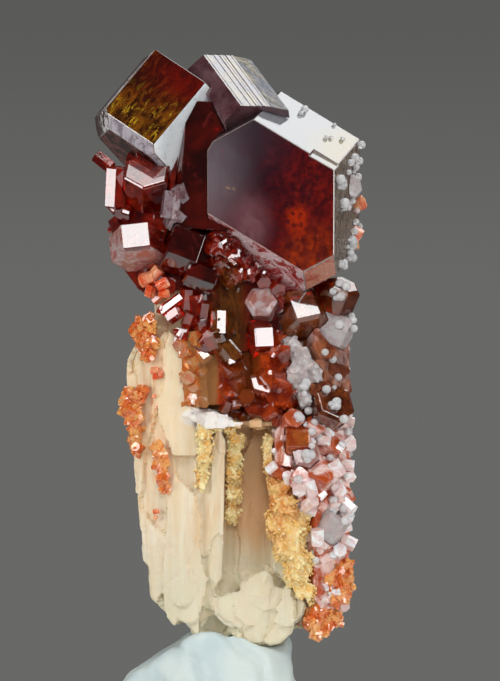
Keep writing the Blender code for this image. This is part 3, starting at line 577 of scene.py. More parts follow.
def matrix_surface(settings):
    """Baryte: cream white with upright streaks, tan where it falls back, and painted honey and caramel
    shade in the hollow below the druse.
    """
    recipe = Recipe("baryte_cream")
    streaks = recipe.grain(0.9, 6, 0.6, (1.4, 1.4, 0.14))
    cloud = recipe.grain(0.35, 5, 0.55, (1, 1, 0.5))
    fine = recipe.grain(5.0, 5, 0.65, (1, 1, 0.4))
    fibres = recipe.grain(2.6, 5, 0.62, (1.5, 1.5, 0.16), (0, 4, 0), 0.3)
    colour = recipe.mix(recipe.spread(streaks, 0.35, 0.68), settings.cream, settings.white)
    colour = recipe.over(colour, settings.tan, recipe.spread(fibres, 0.46, 0.3, 0.0, 0.5))
    stain = recipe.spread(cloud, 0.45, 0.7)
    colour = recipe.over(colour, settings.tan, stain, recipe.spread(streaks, 0.62, 0.4), 0.6)
    front = recipe.facing((0, -1, 0), -0.3, 0.25)
    caramel = (0.62, 0.30, 0.12)
    ledge = (0.92, 0.86, 0.80)
    # The honey and caramel spots are painted shade: the hollow below the druse, in shadow and seen through
    # orange crystals.
    for top, centre, reach, edge, wobble, amount, share in (
        (settings.warm, (-5.5, -2.0, 19.5), (3.4, 6.0, 7.0), 1.0, cloud, 0.6, 0.8),
        (settings.foot, (1.0, -3.0, 4.0), (7.0, 9.0, 6.5), 0.8, cloud, 0.8, 0.8),
        (settings.recess, (1.8, -3.0, 14.6), (1.9, 6.0, 5.2), 0.5, streaks, 0.4, front),
        (settings.honey, (0.9, -3.0, 23.4), (2.6, 6.0, 5.2), 0.6, streaks, 0.4, front),
        (caramel, (-1.0, -3.0, 20.6), (0.8, 6.0, 2.6), 0.5, streaks, 0.4, front),
        (ledge, (-0.7, -3.5, 18.0), (2.0, 3.0, 0.75), 0.3, fine, 0.5, 1.0),
    ):
        colour = recipe.over(colour, top, recipe.spot(centre, reach, edge, wobble, amount), share)
    trace = recipe.spot((-4.45, -3.0, 17.6), (0.2, 6.0, 4.6), 0.8, fine, 3.0)
    colour = recipe.over(colour, (0.80, 0.36, 0.10), trace, front, recipe.spread(fine, 0.5, 0.6))
    relief = recipe.math("ADD", streaks, recipe.math("MULTIPLY", fine, 0.5))
    recipe.bump(recipe.math("ADD", relief, recipe.math("MULTIPLY", fibres, 0.9)), 0.5, 0.055)
    recipe.waxy(0.25, (1.0, 0.6, 0.35), 0.6)
    return recipe.done(colour, recipe.spread(fine, 0.3, 0.7, 0.38, 0.6))


def ochre_surface(settings):
    """Earthy ochre, from pale yellow grains to brown hollows."""
    recipe = Recipe("ochre_crust")
    coarse = recipe.grain(1.3, 6, 0.65)
    fine = recipe.grain(6.0, 6, 0.7)
    colour = recipe.mix(recipe.spread(coarse, 0.36, 0.62), settings.dark, settings.bright)
    colour = recipe.over(colour, (1.0, 0.92, 0.68), recipe.spread(fine, 0.52, 0.66))
    colour = recipe.over(colour, (0.40, 0.20, 0.06), recipe.spread(fine, 0.38, 0.28))
    upper = recipe.spot((3.4, -3.5, 12.8), (1.3, 5.0, 3.0), 0.8, coarse, 1.2)
    colour = recipe.over(colour, (0.80, 0.33, 0.07), upper, recipe.spread(coarse, 0.42, 0.58))
    recipe.bump(fine, 0.8, 0.08)
    return recipe.done(colour, 0.85)


def putty_surface(settings):
    """White tacky putty with a faint blue cast."""
    recipe = Recipe("putty_white")
    cloud = recipe.grain(0.3, 4, 0.5)
    fine = recipe.grain(2.5, 5, 0.6)
    colour = recipe.mix(recipe.spread(cloud, 0.35, 0.65), settings.shade, settings.white)
    recipe.bump(recipe.math("ADD", cloud, recipe.math("MULTIPLY", fine, 0.3)), 0.4, 0.12)
    recipe.waxy(0.3, (0.8, 0.9, 1.0), 0.8)
    return recipe.done(colour, recipe.spread(fine, 0.3, 0.7, 0.35, 0.5))


def bead_surface():
    """Clear to milky beads."""
    recipe = Recipe("clear_beads")
    cloud = recipe.grain(1.4, 4, 0.5)
    colour = recipe.mix(recipe.spread(cloud, 0.4, 0.62), (0.96, 0.95, 0.96), (1.0, 1.0, 1.0))
    recipe.bump(recipe.grain(4.0, 3), 0.35, 0.04)
    recipe.glass(0.5, 1.55)
    return recipe.done(colour, recipe.spread(cloud, 0.4, 0.62, 0.03, 0.2))


def floor_surface(settings):
    """Plain pale paper."""
    recipe = Recipe("floor_paper")
    colour = recipe.mix(recipe.grain(0.2, 4), [value * 0.95 for value in settings.floor], settings.floor)
    return recipe.done(colour, 0.8)


# Geometry Nodes


class Growth:
    """A Geometry Nodes tree under construction, with its named inputs."""

    def __init__(self, name, inputs):
        self.tree = bpy.data.node_groups.new(name, "GeometryNodeTree")
        self.tree.interface.new_socket("Geometry", in_out="INPUT", socket_type="NodeSocketGeometry")
        for label, kind in inputs.items():
            self.tree.interface.new_socket(label, in_out="INPUT", socket_type="NodeSocket" + kind)
        self.tree.interface.new_socket("Geometry", in_out="OUTPUT", socket_type="NodeSocketGeometry")
        self.given = self.tree.nodes.new("NodeGroupInput").outputs

    def node(self, kind, inputs, **choices):
        """A new node's outputs, with its choices made and its inputs linked or set."""
        node = self.tree.nodes.new(kind)
        for label, choice in choices.items():
            setattr(node, label, choice)
        for label, value in inputs.items():
            if isinstance(value, bpy.types.NodeSocket):
                self.tree.links.new(value, node.inputs[label])
            else:
                node.inputs[label].default_value = value
        return node.outputs

    def product(self, first, second):
        """Two numbers multiplied."""
        return self.node("ShaderNodeMath", {0: first, 1: second}, operation="MULTIPLY")[0]

    def attribute(self, name):
        """A number that the mesh carries."""
        return self.node("GeometryNodeInputNamedAttribute", {"Name": name}, data_type="FLOAT")[0]

    def finish(self, copies):
        """Turns the copies to real mesh, paints them, and gives back the tree."""
        real = self.node("GeometryNodeRealizeInstances", {"Geometry": copies})
        paint = {"Geometry": real["Geometry"], "Material": self.given["Surface"]}
        painted = self.node("GeometryNodeSetMaterial", paint)
        result = self.tree.nodes.new("NodeGroupOutput")
        self.tree.links.new(painted["Geometry"], result.inputs["Geometry"])
        return self.tree


def scatter_tree(shape):
    """Small crystals or grains stood on a surface, where its room attribute allows."""
    numbers = {label: "Float" for label in ("Density", "Smallest", "Largest", "Tilt")}
    growth = Growth("scattered_" + shape, {**numbers, "Seed": "Int", "Surface": "Material"})
    given = growth.given
    thick = growth.product(given["Density"], growth.attribute("room"))
    spread = {"Mesh": given["Geometry"], "Density": thick, "Seed": given["Seed"]}
    points = growth.node("GeometryNodeDistributePointsOnFaces", spread)
    if shape == "prism":
        form = growth.node("GeometryNodeMeshCylinder", {"Vertices": 6, "Radius": 0.5, "Depth": 1.15})
    else:
        form = growth.node("GeometryNodeMeshIcoSphere", {"Radius": 0.5, "Subdivisions": 1})
    sizes = {2: given["Smallest"], 3: given["Largest"], "Seed": given["Seed"]}
    size = growth.node("FunctionNodeRandomValue", sizes, data_type="FLOAT")[1]
    placed = {"Points": points["Points"], "Rotation": points["Rotation"]}
    placed.update({"Instance": form["Mesh"], "Scale": size})
    copies = growth.node("GeometryNodeInstanceOnPoints", placed)
    tilts = {0: growth.product(given["Tilt"], -1.0), 1: given["Tilt"], "Seed": given["Seed"]}
    tilt = growth.node("FunctionNodeRandomValue", tilts, data_type="FLOAT_VECTOR")[0]
    turn = {"Instances": copies["Instances"], "Rotation": tilt}
    return growth.finish(growth.node("GeometryNodeRotateInstances", turn)["Instances"])


def bead_tree():
    """A nearly round bead at every vertex, as large as its radius attribute says."""
    growth = Growth("beads", {"Flatness": "Float", "Surface": "Material"})
    ball = growth.node("GeometryNodeMeshIcoSphere", {"Radius": 1.0, "Subdivisions": 2})
    radius = growth.attribute("radius")
    low = growth.product(radius, growth.given["Flatness"])
    size = growth.node("ShaderNodeCombineXYZ", {"X": radius, "Y": radius, "Z": low})["Vector"]
    placed = {"Points": growth.given["Geometry"], "Instance": ball["Mesh"], "Scale": size}
    return growth.finish(growth.node("GeometryNodeInstanceOnPoints", placed)["Instances"])


def grown(tree, mesh, **values):
    """The mesh that a tree makes from a bmesh, with the tree's named inputs set."""
    item = loose_object("carrier", mesh)
    growth = item.modifiers.new("growth", "NODES")
    growth.node_group = tree
    for socket in tree.interface.items_tree:
        if socket.item_type == "SOCKET" and socket.in_out == "INPUT" and socket.name in values:
            growth[socket.identifier] = values[socket.name]
    return evaluated(item)


def carrier(nodes, allow=None):
    """CAD nodes as one bmesh whose faces carry a room value: 1 or allow(centre), or 0 if covered."""
    mesh = merged(*nodes)
    bmesh.ops.triangulate(mesh, faces=mesh.faces)
    long_edges = [edge for edge in mesh.edges if edge.calc_length() > LONG_EDGE]
    if long_edges:
        bmesh.ops.subdivide_edges(mesh, edges=long_edges, cuts=2, use_grid_fill=True)
    bmesh.ops.triangulate(mesh, faces=mesh.faces)
    layer = mesh.faces.layers.float.new("room")
    for face in mesh.faces:
        centre = face.calc_center_median()
        room = allow(centre) if allow else 1.0
        face[layer] = room if exposed(centre, face.normal) else 0.0
    return mesh


# Settings


def colour_setting(name, description, default):
    """A colour that a user may change."""
    limits = {"subtype": "COLOR", "size": 3, "min": 0.0, "max": 1.0}
    return FloatVectorProperty(name=name, description=description, default=default, **limits)


def number_setting(name, description, default, least=0.0, most=1e6):
    """A number that a user may change."""
    return FloatProperty(name=name, description=description, default=default, min=least, max=most)


def length_setting(name, description, default, least=0.0):
    """A length in millimetres that a user may change."""
    return number_setting(name, description + " in mm", default, least)


def count_setting(name, description, default):
    """A whole number that a user may change."""
    return IntProperty(name=name, description=description, default=default, min=0)


class CrystalSettings(bpy.types.PropertyGroup):
    """Sizes and colours of the red crystals."""

    edge: length_setting("Edge", "Width of the fine edge bevels", 0.035)
    clearness: number_setting("Clearness", "Share of light let in", 0.6, 0.5, 1.0)
    index: number_setting("Refraction", "Index of refraction", 2.2, 1.3, 2.6)
    depth_density: number_setting("Depth", "Absorption per metre", 1500.0)
    depth_colour: colour_setting("Depth colour", "Colour that light takes inside", (0.95, 0.10, 0.04))
    # The glow and the embers are painted light inside the large crystal, not its own colour.
    glow: colour_setting("Glow", "Red glow inside the large crystal", (0.62, 0.026, 0.012))
    ember: colour_setting("Embers", "Orange glow at the large crystal's foot", (1.0, 0.10, 0.006))
    # Colour of a painted reflection over the large crystal's left.
    haze_reflection: colour_setting("Haze", "Grey haze over the large crystal's left", (0.46, 0.37, 0.42))
    # Colour of painted glints inside the left crystal, not of real flakes.
    gold_glint: colour_setting("Gold", "Gold flakes in the left crystal", (0.98, 0.58, 0.03))


class DruseSettings(bpy.types.PropertyGroup):
    """Sizes of the scattered small crystals."""

    density: number_setting("Density", "Small crystals per square mm", 3.0)
    smallest: length_setting("Smallest", "Smallest crystal", 0.12, 0.01)
    largest: length_setting("Largest", "Largest crystal", 0.42, 0.01)
    tilt: number_setting("Tilt", "Largest tilt of a small crystal in radians", 1.2)
    seed: count_setting("Seed", "Fixed seed of the scatter", 7)


class MatrixSettings(bpy.types.PropertyGroup):
    """Sizes and colours of the baryte."""

    voxel: length_setting("Detail", "Face size of the baryte", 0.13, 0.05)
    ridges: count_setting("Ridges", "Number of thin upright blades", 60)
    seed: count_setting("Seed", "Fixed seed of the blades", 41)
    relief: length_setting("Relief", "Depth of the streaks", 0.05)
    plates: length_setting("Plates", "Step from plate to plate", 0.3)
    cream: colour_setting("Cream", "Main colour", (0.79, 0.64, 0.42))
    white: colour_setting("White", "Lightest streaks", (0.86, 0.77, 0.60))
    tan: colour_setting("Tan", "Stained streaks", (0.74, 0.49, 0.26))
    warm: colour_setting("Warm", "Warmer cream at the upper left", (0.92, 0.72, 0.46))
    foot: colour_setting("Foot", "Paler colour near the putty", (0.72, 0.66, 0.48))
    recess: colour_setting("Recess", "Face that falls back at the centre", (0.76, 0.48, 0.25))
    # Painted shade of the hollow, seen through orange crystals.
    honey: colour_setting("Honey", "Dark hollow below the druse", (0.42, 0.17, 0.05))


class OchreSettings(bpy.types.PropertyGroup):
    """Sizes and colours of the ochre crusts."""

    voxel: length_setting("Detail", "Face size of the ochre", 0.09, 0.05)
    relief: length_setting("Relief", "Height of the crust's lumps", 0.22)
    grains: number_setting("Grains", "Loose grains per square mm", 14.0)
    smallest: length_setting("Smallest", "Smallest grain", 0.06, 0.01)
    largest: length_setting("Largest", "Largest grain", 0.24, 0.01)
    tilt: number_setting("Tilt", "Largest tilt of a grain in radians", 1.5)
    seed: count_setting("Seed", "Fixed seed of the grains", 5)
    dark: colour_setting("Dark", "Brown hollows", (0.86, 0.50, 0.12))
    bright: colour_setting("Bright", "Yellow lumps", (1.0, 0.88, 0.46))


class BeadSettings(bpy.types.PropertyGroup):
    """Sizes of the clear beads."""

    count: count_setting("Count", "Number of beads, at least", 190)
    smallest: length_setting("Smallest", "Smallest bead radius", 0.13, 0.01)
    largest: length_setting("Largest", "Largest bead radius", 0.36, 0.01)
    sunk: number_setting("Sunk", "Share of a bead's radius that is below the surface", 0.3)
    flatness: number_setting("Flatness", "A bead's height over its width", 0.95)
    seed: count_setting("Seed", "Fixed seed of the beads", 3)


class PuttySettings(bpy.types.PropertyGroup):
    """Shape and colours of the putty."""

    voxel: length_setting("Detail", "Face size of the putty", 0.22, 0.05)
    softness: count_setting("Softness", "Rounds of smoothing", 14)
    creases: FloatVectorProperty(
        name="Creases", description="Where the creases cross the foot in mm", default=(-2.4, 0.6, 4.4)
    )
    crease_width: length_setting("Crease width", "How wide a crease is", 0.45, 0.01)
    crease_depth: length_setting("Crease depth", "How deep a crease is", 0.3)
    white: colour_setting("White", "Main colour", (0.66, 0.74, 0.71))
    shade: colour_setting("Shade", "Colour of the hollows", (0.54, 0.65, 0.66))


class StageSettings(bpy.types.PropertyGroup):
    """Floor, lights and camera."""

    floor: colour_setting("Floor", "Colour of the floor", (0.78, 0.78, 0.77))
    backdrop: colour_setting("Backdrop", "Grey behind the specimen", (0.140, 0.140, 0.135))
    backdrop_top: colour_setting("Backdrop top", "Grey behind and above it", (0.100, 0.100, 0.097))
    room: colour_setting("Room", "Dark room on the viewer's side", (0.022, 0.022, 0.022))
    lights: number_setting("Lights", "Brightness of all lights together", 1.0)
    distance: length_setting("Camera distance", "Distance", 400.0, 50.0)


class SpecimenSettings(bpy.types.PropertyGroup):
    """All settings of the specimen."""

    crystals: PointerProperty(type=CrystalSettings)
    druse: PointerProperty(type=DruseSettings)
    matrix: PointerProperty(type=MatrixSettings)
    ochre: PointerProperty(type=OchreSettings)
    beads: PointerProperty(type=BeadSettings)
    putty: PointerProperty(type=PuttySettings)
    stage: PointerProperty(type=StageSettings)


# Pieces

RED_NODES = (
    "back_crystal", "outer_left_crystal", "block_crystal", "lower_block_crystal", "red_brown_crystal",
    "square_crystal", "white_faced_crystal", "pink_topped_crystal",
)
FROSTED_NODES = (
    "star_crystal", "white_square_crystal", "brown_prism_crystal", "grey_faced_crystal",
    "lower_dark_crystal", "hexagonal_crystal", "white_tip_crystal", "side_hexagon_crystal",
)
TUFTS = ("upper_left_tuft", "lower_left_tuft", "left_patch", "right_tuft", "bottom_tuft")

# Sides of the large and the left crystal, each with the number of its surface.
LARGE_SIDES = (((-0.45, -0.57, -0.69), 3), ((0.18, -0.68, -0.71), 4), ((0.98, -0.17, -0.04), 1))
LEFT_SIDES = (
    ((0.55, -0.80, -0.24), 1), ((-0.624, -0.198, -0.756), 2),
    ((-0.62, -0.72, -0.33), 5), ((-0.14, -0.66, -0.74), 5),
)

# Faces smaller than this are the edges' bevels, in square metres.
LARGE_BEVEL = 0.9 * MM * MM
LEFT_BEVEL = 0.8 * MM * MM

# How many times wider than the others the edge bevels of the large and the left crystal are.
LARGE_EDGES = 2.4
LEFT_EDGES = 2.0

# The striped side: distance from stripe to stripe and their height in millimetres, the smallest strip
# that counts in square millimetres, and a fixed seed.
STRIPE_PITCH = 0.16
STRIPE_HEIGHT = 0.045
STRIPE_LEAST = 0.02
STRIPE_SEED = 5


def square_to(direction, other):
    """The part of a direction that is at right angles to another one, as a unit vector."""
    return (direction - other * direction.dot(other)).normalized()


def by_side(sides, others):
    """Chooses a face's surface by the side that it looks along, or else by others(face)."""

    def choose(face):
        for direction, number in sides:
            if face.normal.dot(Vector(direction)) > SAME_SIDE:
                return number
        return others(face)

    return choose


def bevelled(mesh, edge):
    """Cleans a crystal's flat sides and puts a fine bevel on its sharp edges."""
    bmesh.ops.dissolve_limit(mesh, angle_limit=FLAT_ANGLE, verts=mesh.verts, edges=mesh.edges)
    paired = [item for item in mesh.edges if len(item.link_faces) == 2]
    sharp = [item for item in paired if item.calc_face_angle(0) > SHARP_ANGLE]
    shape = {"affect": "EDGES", "segments": 1, "profile": 0.5, "clamp_overlap": True}
    bmesh.ops.bevel(mesh, geom=sharp, offset=edge, **shape)
    bmesh.ops.recalc_face_normals(mesh, faces=mesh.faces)
    return mesh


def ridged(mesh, outward, along, pitch, height, dice):
    """Cuts a crystal side in strips along its length and raises some of them, as growth lines."""

    def side_faces():
        return [face for face in mesh.faces if face.normal.dot(outward) > SAME_PLANE]

    side = side_faces()
    if not side:
        raise RuntimeError("no side to cut in strips")
    across = outward.cross(along).normalized()
    spots = [vertex.co.dot(across) for face in side for vertex in face.verts]
    position = min(spots) + pitch
    while position < max(spots) - pitch / 2:
        part = side_faces()
        geometry = part + list({edge for face in part for edge in face.edges})
        geometry += list({vertex for face in part for vertex in face.verts})
        bmesh.ops.bisect_plane(mesh, geom=geometry, dist=1e-5, plane_co=across * position, plane_no=across)
        position += pitch * dice.uniform(0.6, 1.5)
    strips = [face for face in side_faces() if face.calc_area() > STRIPE_LEAST]
    for face in strips[1::2]:
        rise = height * dice.uniform(0.5, 1.3)
        bmesh.ops.inset_individual(mesh, faces=[face], thickness=0.02, depth=rise)


def notched(mesh):
    """The large crystal with the low step that is missing from its upper right side, near the front."""
    outward = Vector(LIT_SIDE).normalized()
    forward = square_to(Vector(LARGE_FACE).normalized(), outward)
    along = outward.cross(forward)
    if along.x < 0:
        along = -along
    corner, _ = seen(*NOTCH_CORNER)
    outside = ((outward, 2.0), (forward, 2.0), (along, 4.0), (-along, 0.0))
    step = closed_form(corner, (*outside, (-outward, NOTCH_DEPTH), (-forward, NOTCH_REACH)))
    body = loose_object("body", mesh)
    tool = loose_object("tool", step)
    cut = body.modifiers.new("cut", "BOOLEAN")
    cut.operation = "DIFFERENCE"
    cut.solver = "EXACT"
    cut.object = tool
    data = evaluated(body)
    bpy.data.objects.remove(tool)
    result = bmesh.new()
    result.from_mesh(data)
    bpy.data.meshes.remove(data)
    return result


class SPECIMEN_OT_large_crystals(bpy.types.Operator):
    """Cuts and finishes the three large crystals"""

    bl_idname = "specimen.large_crystals"
    bl_label = "Large crystals"

    def execute(self, context):
        settings = context.scene.specimen.crystals
        edge_highlight = edge_highlight_surface()
        white = flap_surface("vanadinite_white_flap", (0.50, 0.04, 0.03), (1.0, 0.86, 0.88), settings)
        salmon = flap_surface("vanadinite_salmon_flap", (0.66, 0.09, 0.03), (0.85, 0.33, 0.20), settings)
        surfaces = (large_face_surface(settings), large_side_surface(settings), edge_highlight, white, salmon)

        def front_edges(face):
            narrow = face.area < LARGE_BEVEL and face.normal.y < -0.3
            return 2 if narrow and face.normal.z < 0.6 else 0

        body = bevelled(notched(merged("large_crystal")), settings.edge * LARGE_EDGES)
        choose = by_side(LARGE_SIDES, front_edges)
        finished("large_red_crystal", body, surfaces, "vanadinite_red", ("large_crystal",), choose=choose)

        umber = ("vanadinite_brown_end", (0.035, 0.006, 0.004), (0.17, 0.055, 0.045))
        # Painted reflection: the left crystal's bevel band is painted pale violet-grey and kept dull, for
        # the left light that it mirrors.
        bevel_reflection = ("vanadinite_bevel_reflection", (0.26, 0.22, 0.25), (0.50, 0.46, 0.50))
        brown, grey = (flap_surface(*look, settings, dull=True) for look in (umber, bevel_reflection))
        surfaces = (amber_surface(settings), mirror_surface(), brown, edge_highlight, rim_surface(), grey)

        def left_edges(face):
            if face.area < LEFT_BEVEL and face.normal.x < -0.2:
                return 3
            return 4 if face.normal.x < -0.5 and abs(face.normal.y) < 0.5 else 0

        body = bevelled(merged("left_crystal"), settings.edge * LEFT_EDGES)
        choose = by_side(LEFT_SIDES, left_edges)
        finished("left_amber_crystal", body, surfaces, "vanadinite_red", ("left_crystal",), choose=choose)

        body = merged("top_crystal")
        bmesh.ops.dissolve_limit(body, angle_limit=FLAT_ANGLE, verts=body.verts, edges=body.edges)
        along = Vector(STRIPED_LENGTH).normalized()
        outward = square_to(Vector(STRIPED_SIDE), along)
        ridged(body, outward, along, STRIPE_PITCH, STRIPE_HEIGHT, random.Random(STRIPE_SEED))
        silky = striped_surface(settings)
        finished("top_striped_crystal", body, (silky,), "vanadinite_red", ("top_crystal",))
        return {"FINISHED"}


class SPECIMEN_OT_single_crystals(bpy.types.Operator):
    """Cuts and finishes the smaller crystals that stand alone"""

    bl_idname = "specimen.single_crystals"
    bl_label = "Single crystals"

    def execute(self, context):
        settings = context.scene.specimen.crystals
        garnet = ("vanadinite_deep", (0.07, 0.002, 0.001), (0.26, 0.010, 0.003))
        deep = red_surface(*garnet, settings, 0.7, scale=0.5)
        red = red_surface("vanadinite_red", (0.22, 0.010, 0.006), (0.72, 0.050, 0.014), settings, 0.7)
        brown = red_surface("vanadinite_brown", (0.14, 0.022, 0.006), (0.55, 0.13, 0.025), settings, 0.7)
        tawny = ("vanadinite_orange_single", (0.62, 0.08, 0.012), (0.95, 0.26, 0.04))
        orange = red_surface(*tawny, settings, settings.clearness)
        rose = frosted_surface("vanadinite_rose", (0.66, 0.24, 0.19), (0.88, 0.72, 0.72), settings, 0.1)
        pearl = ("vanadinite_frost", (0.78, 0.62, 0.62), (0.97, 0.95, 0.96))
        frost = frosted_surface(*pearl, settings, 0.16)
        snow = ("vanadinite_ice", (0.94, 0.80, 0.76), (1.0, 1.0, 1.0))
        ice = frosted_surface(*snow, settings, 0.12, 1.8, 0.6)
        looks = {
            "back_crystal": deep, "red_brown_crystal": brown, "brown_prism_crystal": brown,
            "lower_dark_crystal": brown, "star_crystal": rose, "hexagonal_crystal": rose,
            "block_crystal": deep, "lower_block_crystal": deep,
            "grey_faced_crystal": frost, "white_tip_crystal": ice, "side_hexagon_crystal": frost,
        }

        def low_and_left(face):
            return 1 if face.normal.x < -0.25 or face.normal.z < -0.45 else 0

        for node in RED_NODES + FROSTED_NODES:
            slot = "vanadinite_red" if node in RED_NODES else "vanadinite_frosted"
            body = bevelled(merged(node), settings.edge)
            surfaces = (looks.get(node, red), rose)
            choose = low_and_left if node == "square_crystal" else None
            finished(node + "_cut", body, surfaces, slot, (node,), choose=choose)

        def lumps(place):
            return BAND_RELIEF * (noise.turbulence(place * 1.5, 3, False) - 0.4)

        band = remeshed(merged("frosted_crystal"), BAND_VOXEL)
        displaced(band, lumps)
        finished("frosted_band", band, (ice,), "vanadinite_frosted", ("frosted_crystal",), smooth=True)
        body = bevelled(merged("orange_red_crystal"), settings.edge)
        finished("orange_red_crystal_cut", body, (orange,), "vanadinite_orange", ("orange_red_crystal",))
        return {"FINISHED"}


# The hollow of the upper druse, where small crystals stand thickest: its middle and half its size across
# and up. Then the height above which the right crust has few, and how far the honey zone reaches across,
# where the front has none. All in millimetres.
HOLLOW_MIDDLE = (0.8, 28.2)
HOLLOW_HALF = (2.6, 1.8)
SPARSE_ABOVE = 17.8
HONEY_ZONE = (-1.6, 2.2)


class SPECIMEN_OT_druse(bpy.types.Operator):
    """Finishes the crusts of small crystals and scatters still smaller ones over them"""

    bl_idname = "specimen.druse"
    bl_label = "Druse and crusts"

    def execute(self, context):
        crystals = context.scene.specimen.crystals
        settings = context.scene.specimen.druse
        crimson = ("vanadinite_druse", (0.20, 0.006, 0.004), (0.72, 0.045, 0.012))
        red = red_surface(*crimson, crystals, 0.6, honey=True)
        orange = milky_surface("vanadinite_orange", (0.74, 0.15, 0.02), (0.95, 0.44, 0.14), 0.12, 1.1)
        ruddy = ruddy_surface(crystals)
        blush = ("vanadinite_rose_crust", (0.50, 0.08, 0.015), (0.90, 0.66, 0.60))
        rose = milky_surface(*blush, 0.1, 0.8, browner=True)
        white = milky_surface("vanadinite_white_crust", (0.82, 0.60, 0.57), (0.98, 0.96, 0.97), 0.06, 0.9)
        grey = frosted_surface("vanadinite_grey", (0.30, 0.12, 0.13), (0.60, 0.50, 0.54), crystals, 0.2)
        looks = {"centre_druse": red, "grey_pair": grey, "front_crystals": ruddy, "right_crust": rose}
        looks.update({node: orange for node in TUFTS})
        for node, surface in looks.items():
            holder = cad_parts[node].material_slots[0]
            holder.link = "OBJECT"
            holder.material = surface
        prisms = scatter_tree("prism")

        def upper_druse(centre):
            across = (centre.x - HOLLOW_MIDDLE[0]) / HOLLOW_HALF[0]
            up = (centre.z - HOLLOW_MIDDLE[1]) / HOLLOW_HALF[1]
            return 3.0 if math.hypot(across, up) < 1 and centre.y < -1 else 0.5

        def low_crust(centre):
            return 0.2 if centre.z > SPARSE_ABOVE else 1.0

        def no_honey(centre):
            return 0.0 if HONEY_ZONE[0] < centre.x < HONEY_ZONE[1] else 0.7

        for name, nodes, allow, density, sizes, surface, slot in (
            ("druse_sparkle", ("centre_druse",), upper_druse, 0.6, (0.7, 1.0), red, "vanadinite_red"),
            ("front_sparkle", ("front_crystals",), no_honey, 0.5, (0.8, 1.0), ruddy, "vanadinite_orange"),
            ("tuft_crystals", TUFTS, None, 3.0, (0.8, 0.9), orange, "vanadinite_orange"),
            ("crust_crystals", ("right_crust",), low_crust, 0.28, (1.4, 2.3), white, "vanadinite_frosted"),
        ):
            data = grown(
                prisms,
                carrier(nodes, allow),
                Density=settings.density * density,
                Smallest=settings.smallest * sizes[0],
                Largest=settings.largest * sizes[1],
                Tilt=settings.tilt,
                Seed=settings.seed,
                Surface=surface,
            )
            finished(name, data, (surface,), slot)
        return {"FINISHED"}


# A stray crystal: how far it leans towards the viewer, half its length over its width, and how far out
# of the surface its middle stands, as a share of its width.
STRAY_LEAN = 0.35
STRAY_LENGTH = 0.6
STRAY_RISE = 0.15

# Stray orange crystals: across, up and width in millimetres, and how far each is turned, in degrees.
STRAY_CRYSTALS = [
    (-4.35, 20.9, 0.42, 5), (-4.0, 20.7, 0.34, 80), (-4.3, 20.5, 0.3, 0), (-4.42, 19.3, 0.2, 20),
    (-4.3, 18.6, 0.16, 40), (-4.28, 12.1, 0.3, 10), (-4.32, 11.7, 0.24, 60),
    (-4.9, 26.6, 0.8, 15), (-4.3, 26.9, 0.7, 50), (-4.6, 26.0, 0.65, 75), (-3.9, 26.3, 0.6, 30),
    (-3.8, 25.7, 0.5, 5), (-4.2, 25.4, 0.5, 40),
    (8.15, 31.3, 0.8, 20), (8.1, 29.4, 0.7, 60), (8.0, 28.7, 0.45, 10),
]

# Rust-red crystals just above the ledge, in the same order.
LEDGE_CRYSTALS = [
    (0.2, 18.7, 0.7, 65), (0.7, 18.4, 0.75, 15), (1.35, 18.25, 0.9, 50), (2.1, 18.35, 0.85, -10),
    (2.75, 18.3, 0.8, 30), (3.3, 18.0, 0.7, 70),
]


def small_prism(place, outward, width, turn):
    """A short six-sided crystal that stands on a surface, its side seen from the front."""
    along = Vector((math.cos(math.radians(turn)), -STRAY_LEAN, math.sin(math.radians(turn)))).normalized()
    side = square_to(outward, along)
    cross = along.cross(side)
    faces = [(along, width * STRAY_LENGTH), (-along, width * STRAY_LENGTH)]
    for step in range(6):
        angle = math.radians(60 * step)
        faces.append((side * math.cos(angle) + cross * math.sin(angle), width / 2))
    return closed_form(place, faces)


class SPECIMEN_OT_stray_crystals(bpy.types.Operator):
    """Sets single small orange crystals on the matrix and down the large crystal's right side"""

    bl_idname = "specimen.stray_crystals"
    bl_label = "Stray crystals"

    def execute(self, context):
        settings = context.scene.specimen.crystals
        orange = milky_surface("vanadinite_stray", (0.78, 0.09, 0.02), (0.98, 0.46, 0.24), 0.05, 0.9)
        rust = red_surface("vanadinite_rust", (0.24, 0.016, 0.004), (0.72, 0.08, 0.012), settings, 0.55)
        for name, rows, surface in (
            ("stray_crystals", STRAY_CRYSTALS, orange),
            ("ledge_crystals", LEDGE_CRYSTALS, rust),
        ):
            body = bmesh.new()
            for x, z, width, turn in rows:
                point, normal = seen(x, z)
                if point is None:
                    raise RuntimeError("no surface for a stray crystal")
                added(body, small_prism(point + normal * width * STRAY_RISE, normal, width, turn))
            finished(name, bevelled(body, settings.edge * 0.5), (surface,), "vanadinite_orange")
        return {"FINISHED"}


# Thin blades of the column: where its middle is, from how low to how high they stand, and their sizes.
COLUMN_MIDDLE = (0.2, 0.3)
BLADE_SPAN = (6.5, 25.0)
BLADE_HEIGHTS = (2.0, 6.5)
BLADE_WIDTHS = (0.25, 0.75)
BLADE_DEPTHS = (0.08, 0.24)

# How far a blade leans, the angle of its cut ends in degrees, and how deep the cut goes into its height.
BLADE_LEAN = 0.06
BLADE_SLANTS = (25, 55)
BLADE_CUTS = (0.1, 0.35)


